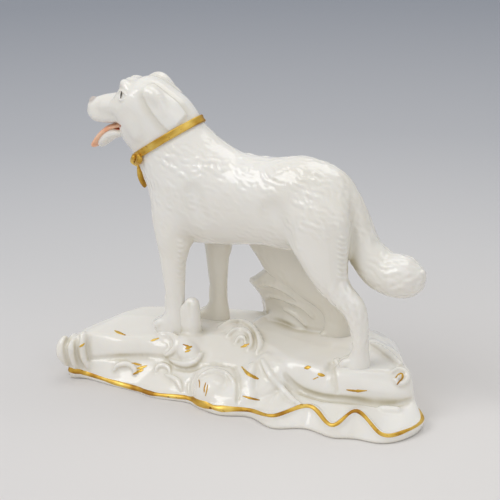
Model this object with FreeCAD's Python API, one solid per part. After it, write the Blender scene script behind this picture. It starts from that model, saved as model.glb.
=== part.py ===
"""A standing retriever in glazed porcelain on a hollow scrolled base, after the press-moulded chimney figures.

The clay pieces are pressed or cast one by one and luted together with slip, so each one is a solid of its own that
seats face to face on its neighbours. The dog looks along -X, its left side is towards -Y, and Z points up from the
table. The origin is the middle of the base on the table. Every form is a skin of flat facets through closed rings,
and the rings follow share tables of the sizes below.
"""
import FreeCAD
import Part
import math
import os

from FreeCAD import Vector

os.makedirs("parts", exist_ok=True)

# Dog: main sizes in millimetres
body_length = 100.0         # breast to the heel of the rear hind paw
dog_height = 100.0          # ground under the fore paws to the brow
body_width = 30.0           # across the shoulders
head_width = 25.0           # across the cheeks
track_width = 18.0          # between the middles of the two fore paws
hind_track_width = 22.0     # between the middles of the two hind paws
breast_x = -50.0            # where the breast stands along the base
spine_y = 2.0               # middle plane of the dog, a little behind the middle of the base

# Base: main sizes
base_length = 156.0
base_depth = 78.0
fore_ground_height = 22.0   # table to the ground under the fore paws
hind_ground_height = 21.0   # table to the ground under the hind paws
shell_wall = 4.0            # pressed wall of the base
foot_width = 5.0            # ring of the foot that stands on the table
plate_thickness = 3.0
ledge_width = 1.2           # shoulder inside the foot that the plate is luted against
plate_gap = 0.15            # slip joint round the plate
vent_diameter = 6.0         # firing vent in the plate

# Walls, joints and cuts
body_wall = 3.0             # pressed wall of the torso halves
slip_gap = 0.10             # glaze-filled gap under the collar
overrun = 5.0               # how far every cutting solid runs past what it cuts

# Limbs and trim
fore_leg_width = 10.0
hind_leg_width = 13.0
tail_width = 15.0           # across the plume
ear_length = 17.5
ear_breadth = 13.5
ear_thickness = 4.0
tongue_width = 6.4
tongue_thickness = 2.2
jaw_width = 8.6
collar_width = 3.0
collar_thickness = 1.1
knot_length = 5.0
knot_width = 4.6
drop_length = 11.0
drop_width = 4.4
drop_thickness = 2.2
rock_depth = 17.0
knob_diameter = 6.5
knob_height = 14.0

# Facets round and along each kind of form
body_sides = 24
limb_sides = 14
trim_sides = 10
rim_sides = 96


def along(share):
    """Place along X of a share of the body's length, measured back from the breast."""
    return breast_x + share * body_length


def above(share):
    """Place along Z of a share of the dog's height, measured up from the ground under the fore paws."""
    return fore_ground_height + share * dog_height


def spline_rows(rows, steps):
    """The rows of a table with further rows between them, on a smooth curve through every row."""
    dense = []
    last = len(rows) - 1
    for i in range(last):
        before = rows[max(i - 1, 0)]
        after = rows[min(i + 2, last)]
        for k in range(steps):
            t = k / steps
            row = []
            for p0, p1, p2, p3 in zip(before, rows[i], rows[i + 1], after):
                bend = 2 * p0 - 5 * p1 + 4 * p2 - p3
                twist = 3 * p1 - p0 - 3 * p2 + p3
                row.append(p1 + 0.5 * t * (p2 - p0 + t * (bend + t * twist)))
            dense.append(row)
    dense.append(list(rows[last]))
    return dense


def facet(a, b, c):
    """One flat triangle."""
    return Part.Face(Part.makePolygon([a, b, c, a]))


def lid(ring, level):
    """The faces that close a ring: one flat face if the ring is level, or else a fan round its middle."""
    if level:
        return [Part.Face(Part.makePolygon(ring + ring[:1]))]
    hub = sum(ring, Vector()) * (1 / len(ring))
    return [facet(a, b, hub) for a, b in zip(ring, ring[1:] + ring[:1])]


def skin(rings, level_start=False, level_end=False):
    """A closed solid of flat triangles through rings of equal counts."""
    faces = []
    count = len(rings[0])
    for ring, following in zip(rings, rings[1:]):
        for i in range(count):
            j = (i + 1) % count
            faces.append(facet(ring[i], ring[j], following[j]))
            faces.append(facet(ring[i], following[j], following[i]))
    faces += lid(rings[0], level_start) + lid(rings[-1], level_end)
    solid = Part.Solid(Part.Shell(faces))
    if solid.Volume < 0:
        solid.reverse()
    return solid


def egg(top, bottom, half_width, sides, widest=0.5):
    """An egg-shaped ring in the plane through two points of the middle plane and the Y direction."""
    ring = []
    rise = top - bottom
    for i in range(sides):
        turn = 2 * math.pi * i / sides
        reach = 1 - widest if math.cos(turn) > 0 else widest
        point = bottom + rise * (widest + reach * math.cos(turn))
        ring.append(point + Vector(0, half_width * math.sin(turn), 0))
    return ring


def oval(centre, u, v, sides):
    """An oval ring round a centre, with u and v as its half axes."""
    turns = [2 * math.pi * i / sides for i in range(sides)]
    return [centre + u * math.cos(turn) + v * math.sin(turn) for turn in turns]


def write(name, shape):
    """One STEP file for one node."""
    shape.exportStep("parts/" + name + ".step")


# Ribs of the torso from the rump to the collar: top x, top z, bottom x, bottom z, half width
torso_shares = [
    (0.870, 0.676, 0.882, 0.570, 0.10),
    (0.848, 0.710, 0.878, 0.480, 0.29),
    (0.794, 0.745, 0.800, 0.390, 0.41),
    (0.680, 0.762, 0.640, 0.375, 0.46),
    (0.550, 0.740, 0.510, 0.380, 0.45),
    (0.420, 0.742, 0.360, 0.358, 0.48),
    (0.335, 0.775, 0.200, 0.350, 0.51),
    (0.290, 0.803, 0.085, 0.385, 0.49),
    (0.262, 0.825, 0.035, 0.470, 0.45),
    (0.246, 0.842, 0.005, 0.560, 0.41),
]
# The collar's plane, where the head is luted on: top x, top z, bottom x, bottom z, half width
collar_shares = (0.232, 0.858, -0.052, 0.672, 0.37)
# Ribs of the head from above the collar to the nose
head_shares = [
    (0.213, 0.893, -0.068, 0.700, 0.475),
    (0.175, 0.945, -0.090, 0.722, 0.51),
    (0.120, 0.978, -0.108, 0.748, 0.505),
    (0.055, 1.005, -0.112, 0.772, 0.48),
    (0.000, 1.012, -0.115, 0.792, 0.45),
    (-0.050, 0.994, -0.120, 0.806, 0.41),
    (-0.088, 0.988, -0.128, 0.811, 0.36),
    (-0.110, 0.968, -0.140, 0.811, 0.30),
    (-0.128, 0.935, -0.158, 0.806, 0.25),
    (-0.165, 0.925, -0.188, 0.802, 0.225),
    (-0.205, 0.915, -0.215, 0.801, 0.215),
    (-0.245, 0.900, -0.245, 0.810, 0.19),
    (-0.272, 0.886, -0.264, 0.836, 0.13),
    (-0.280, 0.876, -0.273, 0.860, 0.06),
]


def egg_rings(rows, width, sides, widest=0.5):
    """Rings of a share table of ribs in the dog's middle plane."""
    rings = []
    for top_x, top_z, bottom_x, bottom_z, half in rows:
        top = Vector(along(top_x), spine_y, above(top_z))
        bottom = Vector(along(bottom_x), spine_y, above(bottom_z))
        rings.append(egg(top, bottom, half * width, sides, widest))
    return rings


def collar_normal():
    """Unit direction from the torso to the head, square to the collar's plane."""
    top_x, top_z, bottom_x, bottom_z, half = collar_shares
    slope = Vector(along(top_x) - along(bottom_x), 0, above(top_z) - above(bottom_z))
    return Vector(-slope.z, 0, slope.x).normalize()


def neck_ring(offset, growth=0.0):
    """The neck's ring at a distance along the collar's normal, grown by a clearance or a thickness."""
    top_x, top_z, bottom_x, bottom_z, half = collar_shares
    shift = collar_normal() * offset
    top = Vector(along(top_x), spine_y, above(top_z)) + shift
    bottom = Vector(along(bottom_x), spine_y, above(bottom_z)) + shift
    outward = (top - bottom).normalize() * growth
    return egg(top + outward, bottom - outward, half * body_width + growth, body_sides)


def torso():
    """The outer envelope of the torso, closed at the collar's plane."""
    rings = egg_rings(spline_rows(torso_shares, 2), body_width, body_sides)
    return skin(rings + [neck_ring(-collar_width / 2), neck_ring(0)])


def torso_cavity():
    """The hollow left between the two pressed halves."""
    rings = []
    for top_x, top_z, bottom_x, bottom_z, half in torso_shares[1:]:
        top = Vector(along(top_x), spine_y, above(top_z))
        bottom = Vector(along(bottom_x), spine_y, above(bottom_z))
        inward = (top - bottom).normalize() * body_wall
        rings.append(egg(top - inward, bottom + inward, half * body_width - body_wall, trim_sides))
    return skin(rings)


def torso_halves(envelope):
    """Left and right pressed halves, which meet on the middle plane."""
    hollow = envelope.cut(torso_cavity())
    box = hollow.BoundBox
    size = Vector(box.XLength + 2 * overrun, body_width + overrun, box.ZLength + 2 * overrun)
    corner = Vector(box.XMin - overrun, spine_y - size.y, box.ZMin - overrun)
    left = Part.makeBox(size.x, size.y, size.z, corner)
    return hollow.common(left), hollow.cut(left)


def head():
    """The head with the upper neck, which stands on the collar's plane."""
    dense = spline_rows(head_shares, 2)
    return skin([neck_ring(0), neck_ring(collar_width / 2)] + egg_rings(dense, head_width, body_sides))


# Lower jaw and tongue, ribs from inside the mouth to the tip, half widths in shares of their own width
jaw_shares = [
    (-0.100, 0.792, -0.085, 0.752, 0.50),
    (-0.125, 0.788, -0.110, 0.754, 0.52),
    (-0.165, 0.778, -0.155, 0.750, 0.48),
    (-0.205, 0.753, -0.195, 0.732, 0.40),
    (-0.238, 0.726, -0.230, 0.712, 0.24),
]
tongue_shares = [
    (-0.105, 0.803, 0.40),
    (-0.130, 0.799, 0.44),
    (-0.165, 0.789, 0.48),
    (-0.205, 0.766, 0.50),
    (-0.240, 0.733, 0.44),
    (-0.263, 0.702, 0.26),
]


def lower_jaw():
    """The dropped jaw, a tapered wedge."""
    return skin(egg_rings(spline_rows(jaw_shares, 3), jaw_width, trim_sides))


def tongue():
    """The tongue, a flat strip that lies on the jaw and hangs over its tip."""
    rings = []
    for x, z, half in spline_rows(tongue_shares, 3):
        middle = Vector(along(x), spine_y, above(z))
        rise = Vector(0, 0, tongue_thickness / 2)
        rings.append(egg(middle + rise, middle - rise, half * tongue_width, trim_sides))
    return skin(rings)


# Ear flap from its root down: place along the body, drop in shares of the ear's length, distance out in shares
# of the head's width, half breadth and half thickness in shares of their own sizes
ear_shares = [
    (0.098, 0.00, 0.24, 0.16, 0.50),
    (0.110, 0.12, 0.34, 0.36, 0.75),
    (0.128, 0.36, 0.44, 0.50, 0.70),
    (0.138, 0.58, 0.48, 0.43, 0.55),
    (0.146, 0.82, 0.49, 0.26, 0.42),
    (0.150, 1.00, 0.49, 0.08, 0.20),
]
ear_root_share = 1.012
ear_shift_shares = {-1: 0.0, 1: -0.09}


def ear(side):
    """One ear flap, hanging against the cheek, with side -1 for left and 1 for right."""
    rings = []
    for x, drop, out, breadth, thickness in spline_rows(ear_shares, 2):
        z = above(ear_root_share) - drop * ear_length
        centre = Vector(along(x + ear_shift_shares[side]), spine_y + side * out * head_width, z)
        u = Vector(breadth * ear_breadth, 0, 0)
        v = Vector(0, side * thickness * ear_thickness, 0)
        rings.append(oval(centre, u, v, limb_sides))
    return skin(rings)


# Legs from the shoulder or hip to the sole: front x, rear x, z in shares of the dog, half width in shares of
# the leg's width, and how far the ring stands out in shares of half the track
left_fore_shares = [
    (0.060, 0.260, 0.560, 0.50, 0.80),
    (0.060, 0.238, 0.460, 0.56, 0.92),
    (0.078, 0.218, 0.385, 0.52, 1.00),
    (0.094, 0.212, 0.310, 0.45, 1.00),
    (0.112, 0.206, 0.200, 0.39, 1.00),
    (0.128, 0.202, 0.095, 0.36, 1.00),
    (0.108, 0.208, 0.045, 0.42, 1.00),
    (0.062, 0.216, 0.010, 0.50, 1.00),
    (0.056, 0.216, -0.040, 0.50, 1.00),
]
right_fore_shares = [
    (0.170, 0.370, 0.560, 0.50, 0.80),
    (0.180, 0.350, 0.460, 0.56, 0.92),
    (0.196, 0.328, 0.385, 0.52, 1.00),
    (0.208, 0.318, 0.310, 0.45, 1.00),
    (0.222, 0.308, 0.200, 0.39, 1.00),
    (0.236, 0.304, 0.095, 0.36, 1.00),
    (0.212, 0.310, 0.045, 0.42, 1.00),
    (0.170, 0.318, 0.010, 0.50, 1.00),
    (0.164, 0.318, -0.040, 0.50, 1.00),
]
left_hind_shares = [
    (0.730, 0.840, 0.710, 0.22, 0.20),
    (0.685, 0.905, 0.630, 0.42, 0.62),
    (0.660, 0.932, 0.550, 0.52, 0.84),
    (0.672, 0.935, 0.460, 0.52, 0.90),
    (0.728, 0.932, 0.380, 0.46, 0.96),
    (0.780, 0.945, 0.310, 0.39, 1.00),
    (0.842, 1.005, 0.245, 0.32, 1.00),
    (0.920, 1.020, 0.190, 0.28, 1.00),
    (0.956, 1.028, 0.120, 0.26, 1.00),
    (0.964, 1.030, 0.050, 0.27, 1.00),
    (0.930, 1.038, 0.005, 0.34, 1.00),
    (0.902, 1.040, -0.030, 0.39, 1.00),
    (0.900, 1.036, -0.085, 0.39, 1.00),
]
right_hind_shares = [
    (0.680, 0.800, 0.710, 0.22, 0.20),
    (0.580, 0.850, 0.630, 0.42, 0.62),
    (0.470, 0.840, 0.540, 0.50, 0.84),
    (0.410, 0.815, 0.440, 0.50, 0.88),
    (0.400, 0.800, 0.350, 0.46, 0.90),
    (0.445, 0.800, 0.285, 0.41, 0.90),
    (0.485, 0.820, 0.230, 0.36, 0.90),
    (0.560, 0.850, 0.185, 0.30, 0.90),
    (0.632, 0.862, 0.145, 0.27, 0.96),
    (0.715, 0.860, 0.100, 0.26, 1.04),
    (0.736, 0.850, 0.055, 0.27, 1.10),
    (0.722, 0.852, 0.015, 0.36, 1.12),
    (0.706, 0.852, -0.018, 0.39, 1.12),
    (0.704, 0.850, -0.075, 0.39, 1.12),
]


def leg(rows, width, track, side):
    """One leg as level oval rings, with side -1 for left and 1 for right."""
    rings = []
    for front, rear, z, half, stand in spline_rows(rows, 2):
        centre = Vector(along((front + rear) / 2), spine_y + side * stand * track / 2, above(z))
        u = Vector((rear - front) * body_length / 2, 0, 0)
        rings.append(oval(centre, u, Vector(0, half * width, 0), limb_sides))
    return skin(rings)


# Tail along its middle line: x, z in shares of the dog, half thickness in shares of the plume's width
tail_shares = [
    (0.770, 0.670, 0.24),
    (0.838, 0.668, 0.27),
    (0.876, 0.620, 0.27),
    (0.908, 0.553, 0.28),
    (0.938, 0.478, 0.33),
    (0.972, 0.407, 0.42),
    (1.035, 0.345, 0.52),
    (1.110, 0.325, 0.56),
    (1.180, 0.340, 0.42),
    (1.228, 0.362, 0.08),
]


def tail():
    """The plumed tail, round rings square to its middle line."""
    rows = spline_rows(tail_shares, 2)
    middles = [Vector(along(x), spine_y, above(z)) for x, z, half in rows]
    rings = []
    for i, (x, z, half) in enumerate(rows):
        run = middles[min(i + 1, len(rows) - 1)] - middles[max(i - 1, 0)]
        across = Vector(run.z, 0, -run.x).normalize()
        size = half * tail_width
        rings.append(oval(middles[i], across * size, Vector(0, size, 0), limb_sides))
    return skin(rings)


def collar():
    """The collar, a band round the neck over the joint of head and torso."""
    half = collar_width / 2
    outer = skin([neck_ring(-half, collar_thickness), neck_ring(half, collar_thickness)])
    inner = skin([neck_ring(-half - overrun, slip_gap), neck_ring(half + overrun, slip_gap)])
    return outer.cut(inner)


# Drop below the collar: height in shares of its length, half width and half thickness in shares of their sizes
drop_shares = [
    (0.00, 0.16, 0.30),
    (0.20, 0.40, 0.48),
    (0.48, 0.50, 0.50),
    (0.78, 0.36, 0.44),
    (1.00, 0.08, 0.16),
]
drop_swing_share = 0.36


def collar_front():
    """The lowest point of the collar's outer face, where the knot sits."""
    top_x, top_z, bottom_x, bottom_z, half = collar_shares
    top = Vector(along(top_x), spine_y, above(top_z))
    bottom = Vector(along(bottom_x), spine_y, above(bottom_z))
    return bottom + (bottom - top).normalize() * collar_thickness


def collar_knot():
    """The small knot on the front of the collar."""
    centre = collar_front() + Vector(knot_width / 4, 0, -knot_length / 4)
    rings = []
    for i in range(trim_sides // 2 + 1):
        turn = math.pi * (i + 0.5) / (trim_sides // 2 + 1)
        level = centre + Vector(0, 0, knot_length / 2 * math.cos(turn))
        size = knot_width / 2 * math.sin(turn)
        rings.append(oval(level, Vector(size, 0, 0), Vector(0, size, 0), trim_sides))
    return skin(rings)


def collar_drop():
    """The almond-shaped drop that hangs from the knot against the breast."""
    top = collar_front() + Vector(0, 0, -knot_length / 2)
    swing = Vector(drop_length * drop_swing_share, 0, -drop_length)
    rings = []
    for fall, half, thick in spline_rows(drop_shares, 2):
        centre = top + swing * fall
        rings.append(oval(centre, Vector(thick * drop_thickness, 0, 0), Vector(0, half * drop_width, 0), trim_sides))
    return skin(rings)


# Outline of the base seen from above, from its near left corner along the near side: foot x, y in shares of the
# base's length and depth; how far in towards the crest the lip and the toe of the wall lie, each with its height
# in shares of the ground's height; crest x, y and height; then how round the wall swells, where 1 is straight
outline_shares = [
    (-0.462, -0.370, 0.02, 0.16, -0.45, 0.55, -0.438, -0.330, 0.85, 1.3),
    (-0.415, -0.335, 0.08, 0.12, 0.30, 0.48, -0.405, -0.285, 0.87, 1.7),
    (-0.330, -0.340, 0.06, 0.12, 0.42, 0.50, -0.325, -0.212, 0.88, 1.8),
    (-0.255, -0.352, 0.05, 0.12, 0.58, 0.50, -0.262, -0.150, 0.89, 1.8),
    (-0.193, -0.395, 0.04, 0.13, 0.62, 0.48, -0.195, -0.130, 0.90, 1.8),
    (-0.100, -0.385, 0.05, 0.13, 0.35, 0.46, -0.125, -0.100, 0.94, 1.1),
    (-0.050, -0.440, 0.03, 0.12, 0.12, 0.30, -0.090, -0.080, 0.96, 1.0),
    (0.013, -0.470, 0.03, 0.12, 0.12, 0.30, -0.020, -0.050, 0.96, 1.0),
    (0.083, -0.425, 0.03, 0.13, 0.15, 0.30, 0.050, -0.070, 0.94, 1.1),
    (0.167, -0.500, 0.08, 0.28, 0.79, 0.38, 0.150, -0.165, 0.91, 1.7),
    (0.240, -0.435, 0.28, 0.42, 0.73, 0.38, 0.235, -0.190, 0.90, 1.8),
    (0.320, -0.470, 0.06, 0.22, 0.76, 0.39, 0.295, -0.175, 0.91, 1.8),
    (0.375, -0.435, 0.19, 0.46, 0.74, 0.38, 0.340, -0.140, 0.92, 1.8),
    (0.445, -0.425, 0.05, 0.16, 0.70, 0.36, 0.388, -0.050, 0.91, 1.8),
    (0.488, -0.320, 0.03, 0.15, 0.64, 0.36, 0.412, 0.000, 0.89, 1.8),
    (0.497, -0.150, 0.02, 0.16, 0.52, 0.40, 0.415, 0.030, 0.87, 1.7),
    (0.440, 0.000, 0.05, 0.20, 0.45, 0.50, 0.395, 0.070, 0.87, 1.4),
    (0.390, 0.180, 0.05, 0.20, 0.40, 0.50, 0.355, 0.200, 0.88, 1.4),
    (0.345, 0.370, 0.05, 0.20, 0.40, 0.50, 0.300, 0.340, 0.88, 1.4),
    (0.235, 0.500, 0.05, 0.20, 0.40, 0.50, 0.215, 0.430, 0.88, 1.4),
    (0.080, 0.455, 0.05, 0.20, 0.40, 0.50, 0.070, 0.395, 0.90, 1.4),
    (-0.065, 0.435, 0.05, 0.20, 0.40, 0.50, -0.070, 0.365, 0.92, 1.4),
    (-0.180, 0.385, 0.05, 0.20, 0.40, 0.50, -0.175, 0.305, 0.93, 1.4),
    (-0.295, 0.275, 0.05, 0.20, 0.40, 0.50, -0.285, 0.195, 0.93, 1.4),
    (-0.385, 0.170, 0.05, 0.20, 0.40, 0.50, -0.370, 0.100, 0.92, 1.4),
    (-0.445, 0.060, 0.05, 0.20, 0.40, 0.50, -0.415, 0.025, 0.90, 1.4),
    (-0.470, -0.080, 0.05, 0.20, 0.40, 0.50, -0.430, -0.085, 0.88, 1.4),
    (-0.486, -0.250, 0.05, 0.18, -0.10, 0.55, -0.450, -0.230, 0.85, 1.3),
]
# Bosses, ridges and hollows of the mound: start x, y and end x, y in shares of the base, radius and height in
# shares of the ground's height, where a negative height is a hollow
relief_shares = [
    (-0.172, -0.150, -0.150, -0.160, 0.26, 0.07),
    (-0.064, -0.335, -0.055, -0.335, 0.42, 0.15),
    (0.026, -0.340, 0.051, -0.205, 0.28, 0.07),
    (0.062, -0.165, 0.212, -0.338, 0.15, 0.07),
    (0.253, -0.230, 0.250, -0.150, 0.13, -0.09),
    (-0.110, 0.060, -0.010, -0.020, 0.22, 0.05),
    (0.285, 0.190, 0.380, 0.075, 0.20, 0.06),
    (0.150, 0.200, 0.220, 0.170, 0.50, 0.06),
]
# Steps up the wall from toe to crest, and of the way in from the crest, at which the mound has its rings
wall_shares = (0.0, 0.22, 0.45, 0.70, 1.0)
floor_shares = (0.10, 0.24, 0.41, 0.62, 0.82)
# The line on which the rings of the ground draw together: its place behind the middle in shares of the base's
# depth, and its length in shares of the crest's
heart_share = 0.29
heart_length_share = 0.7


def base_point(x_share, y_share, height=0.0):
    """A place in shares of the base's length and depth from its middle, at a height above the table."""
    return Vector(x_share * base_length, y_share * base_depth, height)


def base_rows(sides):
    """Evenly numbered rows of the outline table, on a smooth closed curve."""
    joined = outline_shares[-1:] + outline_shares + outline_shares[:2]
    dense = spline_rows(joined, 12)[12:-12]
    count = len(dense) - 1
    return [dense[i * count // sides] for i in range(sides)]


def inward_run(crest_x, crest_y):
    """The way from a point of the crest to the line on which the ground's rings draw together."""
    return base_point(crest_x * heart_length_share, heart_share) - base_point(crest_x, crest_y)


def ground_level(point):
    """The plain ground at a place: level under the fore paws, falling to the hind paws."""
    fall = min(max((point.x - breast_x) / body_length, 0.0), 1.0)
    return fore_ground_height + (hind_ground_height - fore_ground_height) * fall


def relief(point):
    """Height that the rolls, bosses and hollows add at a place."""
    total = 0.0
    flat = Vector(point.x, point.y, 0)
    for x0, y0, x1, y1, radius, height in relief_shares:
        start = base_point(x0, y0)
        run = base_point(x1, y1) - start
        share = min(max((flat - start).dot(run) / run.dot(run), 0.0), 1.0)
        gap_share = (flat - start - run * share).Length / (radius * fore_ground_height)
        fade_share = max(1 - gap_share ** 2, 0.0)
        total += height * fore_ground_height * fade_share ** 2
    return total


def mound():
    """The outer envelope of the base: foot, waved lip, swelling walls and the uneven ground."""
    rows = base_rows(rim_sides)
    rings = [[base_point(row[0], row[1]) for row in rows]]
    lips = []
    toes = []
    crests = []
    for foot_x, foot_y, lip_in, lip_z, toe_in, toe_z, crest_x, crest_y, crest_z, swell in rows:
        foot = base_point(foot_x, foot_y)
        inward = base_point(crest_x, crest_y) - foot
        lips.append(foot + inward * lip_in + Vector(0, 0, lip_z * fore_ground_height))
        toes.append(foot + inward * toe_in + Vector(0, 0, toe_z * fore_ground_height))
        crests.append(base_point(crest_x, crest_y, crest_z * fore_ground_height))
    rings.append(lips)
    for share in wall_shares:
        ring = []
        for toe, crest, row in zip(toes, crests, rows):
            place = toe + (crest - toe) * share ** row[-1]
            place.z = toe.z + (crest.z - toe.z) * (1 - (1 - share) ** row[-1])
            ring.append(place + Vector(0, 0, relief(place)))
        rings.append(ring)
    for share in floor_shares:
        ring = []
        for crest, row in zip(crests, rows):
            place = crest + inward_run(row[6], row[7]) * share
            level = crest.z + (ground_level(place) - crest.z) * min(share / floor_shares[2], 1.0)
            place.z = level + relief(place)
            ring.append(place)
        rings.append(ring)
    return skin(rings, level_start=True)


def foot_ring(clearance, height):
    """The inner edge of the foot at a height, with a clearance that draws it further in."""
    feet = [base_point(row[0], row[1]) for row in base_rows(rim_sides // 3)]
    ring = []
    for i, foot in enumerate(feet):
        run = feet[(i + 1) % len(feet)] - feet[i - 1]
        inward = Vector(-run.y, run.x, 0).normalize()
        ring.append(foot + inward * (foot_width + clearance) + Vector(0, 0, height))
    return ring


def base_cavity():
    """The hollow under the pressed mound, open below, with a shoulder over the plate and under the apron."""
    roof = []
    shoulder = []
    for row, edge in zip(base_rows(rim_sides // 3), foot_ring(ledge_width, plate_thickness)):
        crest = base_point(row[6], row[7])
        shoulder.append(edge + (crest - base_point(row[0], row[1])) * max(row[4], 0.0))
        inward = inward_run(row[6], row[7]).normalize() * 2 * shell_wall
        roof.append(crest + inward + Vector(0, 0, hind_ground_height - 2 * shell_wall))
    rings = [foot_ring(0, -overrun), foot_ring(0, plate_thickness), shoulder, roof]
    return skin(rings, level_start=True, level_end=True)


def base_plate():
    """The slab that closes the underside, with its round firing vent."""
    edge = foot_ring(plate_gap, 0)
    slab = Part.Face(Part.makePolygon(edge + edge[:1])).extrude(Vector(0, 0, plate_thickness))
    vent = Part.makeCylinder(vent_diameter / 2, plate_thickness + 2 * overrun, Vector(0, 0, -overrun))
    return slab.cut(vent)


# Rock behind the right hind leg, level rings from the ground up: x of the front and rear edges and z in shares of
# the dog, shift to the right in shares of the base's depth, then half depth and slant of the long axis in shares of
# the rock's depth
rock_shares = [
    (0.392, 0.800, -0.060, 0.251, 0.36, 0.42),
    (0.385, 0.790, 0.060, 0.240, 0.36, 0.40),
    (0.362, 0.750, 0.150, 0.201, 0.34, 0.25),
    (0.405, 0.710, 0.215, 0.170, 0.34, 0.15),
    (0.500, 0.680, 0.300, 0.135, 0.30, 0.05),
]
rock_sides = 9


def rock_support():
    """The faceted rock that carries the belly from the far side."""
    rings = []
    for front, rear, z, shift, half, slant in rock_shares:
        centre = Vector(along((front + rear) / 2), spine_y + shift * base_depth, above(z))
        u = Vector((front - rear) * body_length / 2, slant * rock_depth, 0)
        rings.append(oval(centre, u, Vector(0, half * rock_depth, 0), rock_sides))
    return skin(rings)


rock_knob_shares = (0.242, 0.050, -0.50)


def rock_knob():
    """The rounded knob of rock behind the left fore paw."""
    x, z, out = rock_knob_shares
    centre = Vector(along(x), spine_y + out * track_width, above(z))
    rings = []
    count = trim_sides // 2
    for i in range(count + 1):
        turn = math.pi * (i + 0.5) / (count + 1)
        size = knob_diameter / 2 * math.sin(turn)
        level = centre - Vector(0, 0, knob_height / 2 * math.cos(turn))
        rings.append(oval(level, Vector(size, 0, 0), Vector(0, size, 0), trim_sides))
    return skin(rings)


def main():
    """Build every piece, seat it on its neighbours and write it out."""
    ground = mound()
    body = torso()
    skull = head()
    left_shell, right_shell = torso_halves(body)
    write("base_shell", ground.cut(base_cavity()))
    write("base_plate", base_plate())
    write("torso_left_shell", left_shell)
    write("torso_right_shell", right_shell)
    write("head", skull)
    jaw = lower_jaw().cut(skull)
    write("lower_jaw", jaw)
    write("tongue", tongue().cut(skull).cut(jaw))
    for name, side in (("left_ear", -1), ("right_ear", 1)):
        write(name, ear(side).cut(skull))
    legs = {
        "left_fore_leg": leg(left_fore_shares, fore_leg_width, track_width, -1),
        "right_fore_leg": leg(right_fore_shares, fore_leg_width, track_width, 1),
        "left_hind_leg": leg(left_hind_shares, hind_leg_width, hind_track_width, -1),
        "right_hind_leg": leg(right_hind_shares, hind_leg_width, hind_track_width, 1),
    }
    planted = [limb.cut(body).cut(ground) for limb in legs.values()]
    for name, limb in zip(legs, planted):
        write(name, limb)
    plume = tail().cut(body)
    rock = rock_support().cut(body).cut(ground)
    knob = rock_knob().cut(ground)
    for limb in planted:
        plume = plume.cut(limb)
        rock = rock.cut(limb)
        knob = knob.cut(limb)
    write("tail", plume)
    write("rock_support", rock)
    write("rock_knob", knob)
    band = collar()
    write("collar", band)
    knot = collar_knot().cut(band).cut(body).cut(skull)
    write("collar_knot", knot)
    write("collar_drop", collar_drop().cut(knot).cut(body).cut(band))


main()
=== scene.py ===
"""Looks of the glazed porcelain retriever: clay worked up as distance fields, fired gilding and soft studio light.

Lengths in the clay work are millimetres in the frame of the model, and meshes are written in metres.
"""
import math

import bpy
import numpy as np
import openvdb
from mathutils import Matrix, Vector


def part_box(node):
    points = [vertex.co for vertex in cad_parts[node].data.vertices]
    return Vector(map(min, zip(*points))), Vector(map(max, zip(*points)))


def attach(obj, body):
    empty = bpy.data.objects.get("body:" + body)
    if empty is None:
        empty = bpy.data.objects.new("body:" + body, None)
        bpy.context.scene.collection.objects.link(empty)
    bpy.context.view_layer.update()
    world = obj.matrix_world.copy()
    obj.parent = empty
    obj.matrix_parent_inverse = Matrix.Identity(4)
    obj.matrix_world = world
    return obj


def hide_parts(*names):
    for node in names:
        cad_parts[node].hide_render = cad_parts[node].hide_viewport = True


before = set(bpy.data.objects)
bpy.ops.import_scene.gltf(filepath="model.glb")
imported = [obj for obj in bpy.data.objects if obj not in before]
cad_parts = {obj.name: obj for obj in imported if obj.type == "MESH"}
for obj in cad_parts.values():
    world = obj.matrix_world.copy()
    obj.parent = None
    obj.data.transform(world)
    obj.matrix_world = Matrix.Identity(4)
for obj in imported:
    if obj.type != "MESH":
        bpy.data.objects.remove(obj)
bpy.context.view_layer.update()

MM = 0.001
FAR = 9.0                   # distance that stands for open air
BAND = 3.8                  # least reach of a loft's distances
MID = 2.0                   # middle plane of the dog
CUT = True                  # a stroke or loft that is carved away
GROUND = 22.0               # height of the ground under the fore paws
LENGTH, DEPTH = 156.0, 78.0  # size of the base
RNG = np.random.default_rng(7)

# Camera at the photograph's viewing angle
AZIMUTH, ELEVATION, DISTANCE, PX_PER_MM = 27.0, 18.0, 750.0, 2.55
PHOTO, SENSOR = 500, 36.0   # width of the photograph in pixels and of the sensor in millimetres
TARGET = np.array([3.5, -13.0, 62.0])
turn, tilt = math.radians(AZIMUTH), math.radians(ELEVATION)
BACK = np.array([math.sin(turn) * math.cos(tilt), -math.cos(turn) * math.cos(tilt), math.sin(tilt)])
RIGHT = np.array([math.cos(turn), math.sin(turn), 0.0])
UP = np.cross(BACK, RIGHT)
EYE = TARGET + BACK * DISTANCE


def placed(name, data, location=(0, 0, 0), way=None):
    """A new object in the scene, which looks along a way if one is given."""
    thing = bpy.data.objects.new(name, data)
    thing.location = location
    if way is not None:
        thing.rotation_mode = "QUATERNION"
        thing.rotation_quaternion = Vector(way).to_track_quat("-Z", "Y")
    bpy.context.scene.collection.objects.link(thing)
    return thing


def make_camera():
    """The camera, whose sensor spans the photograph's width."""
    data = bpy.data.cameras.new("camera")
    data.sensor_width = SENSOR
    data.lens = SENSOR * PX_PER_MM * DISTANCE / PHOTO
    data.clip_start, data.clip_end = 0.05, 50
    bpy.context.scene.camera = placed("camera", data, EYE * MM, -BACK)


# Clay as distance fields

def smooth_min(a, b, k):
    """The lower of two distances, with a fillet of about k where they meet."""
    h = np.clip(0.5 + 0.5 * (b - a) / k, 0, 1)
    return b + (a - b) * h - k * h * (1 - h)


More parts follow.
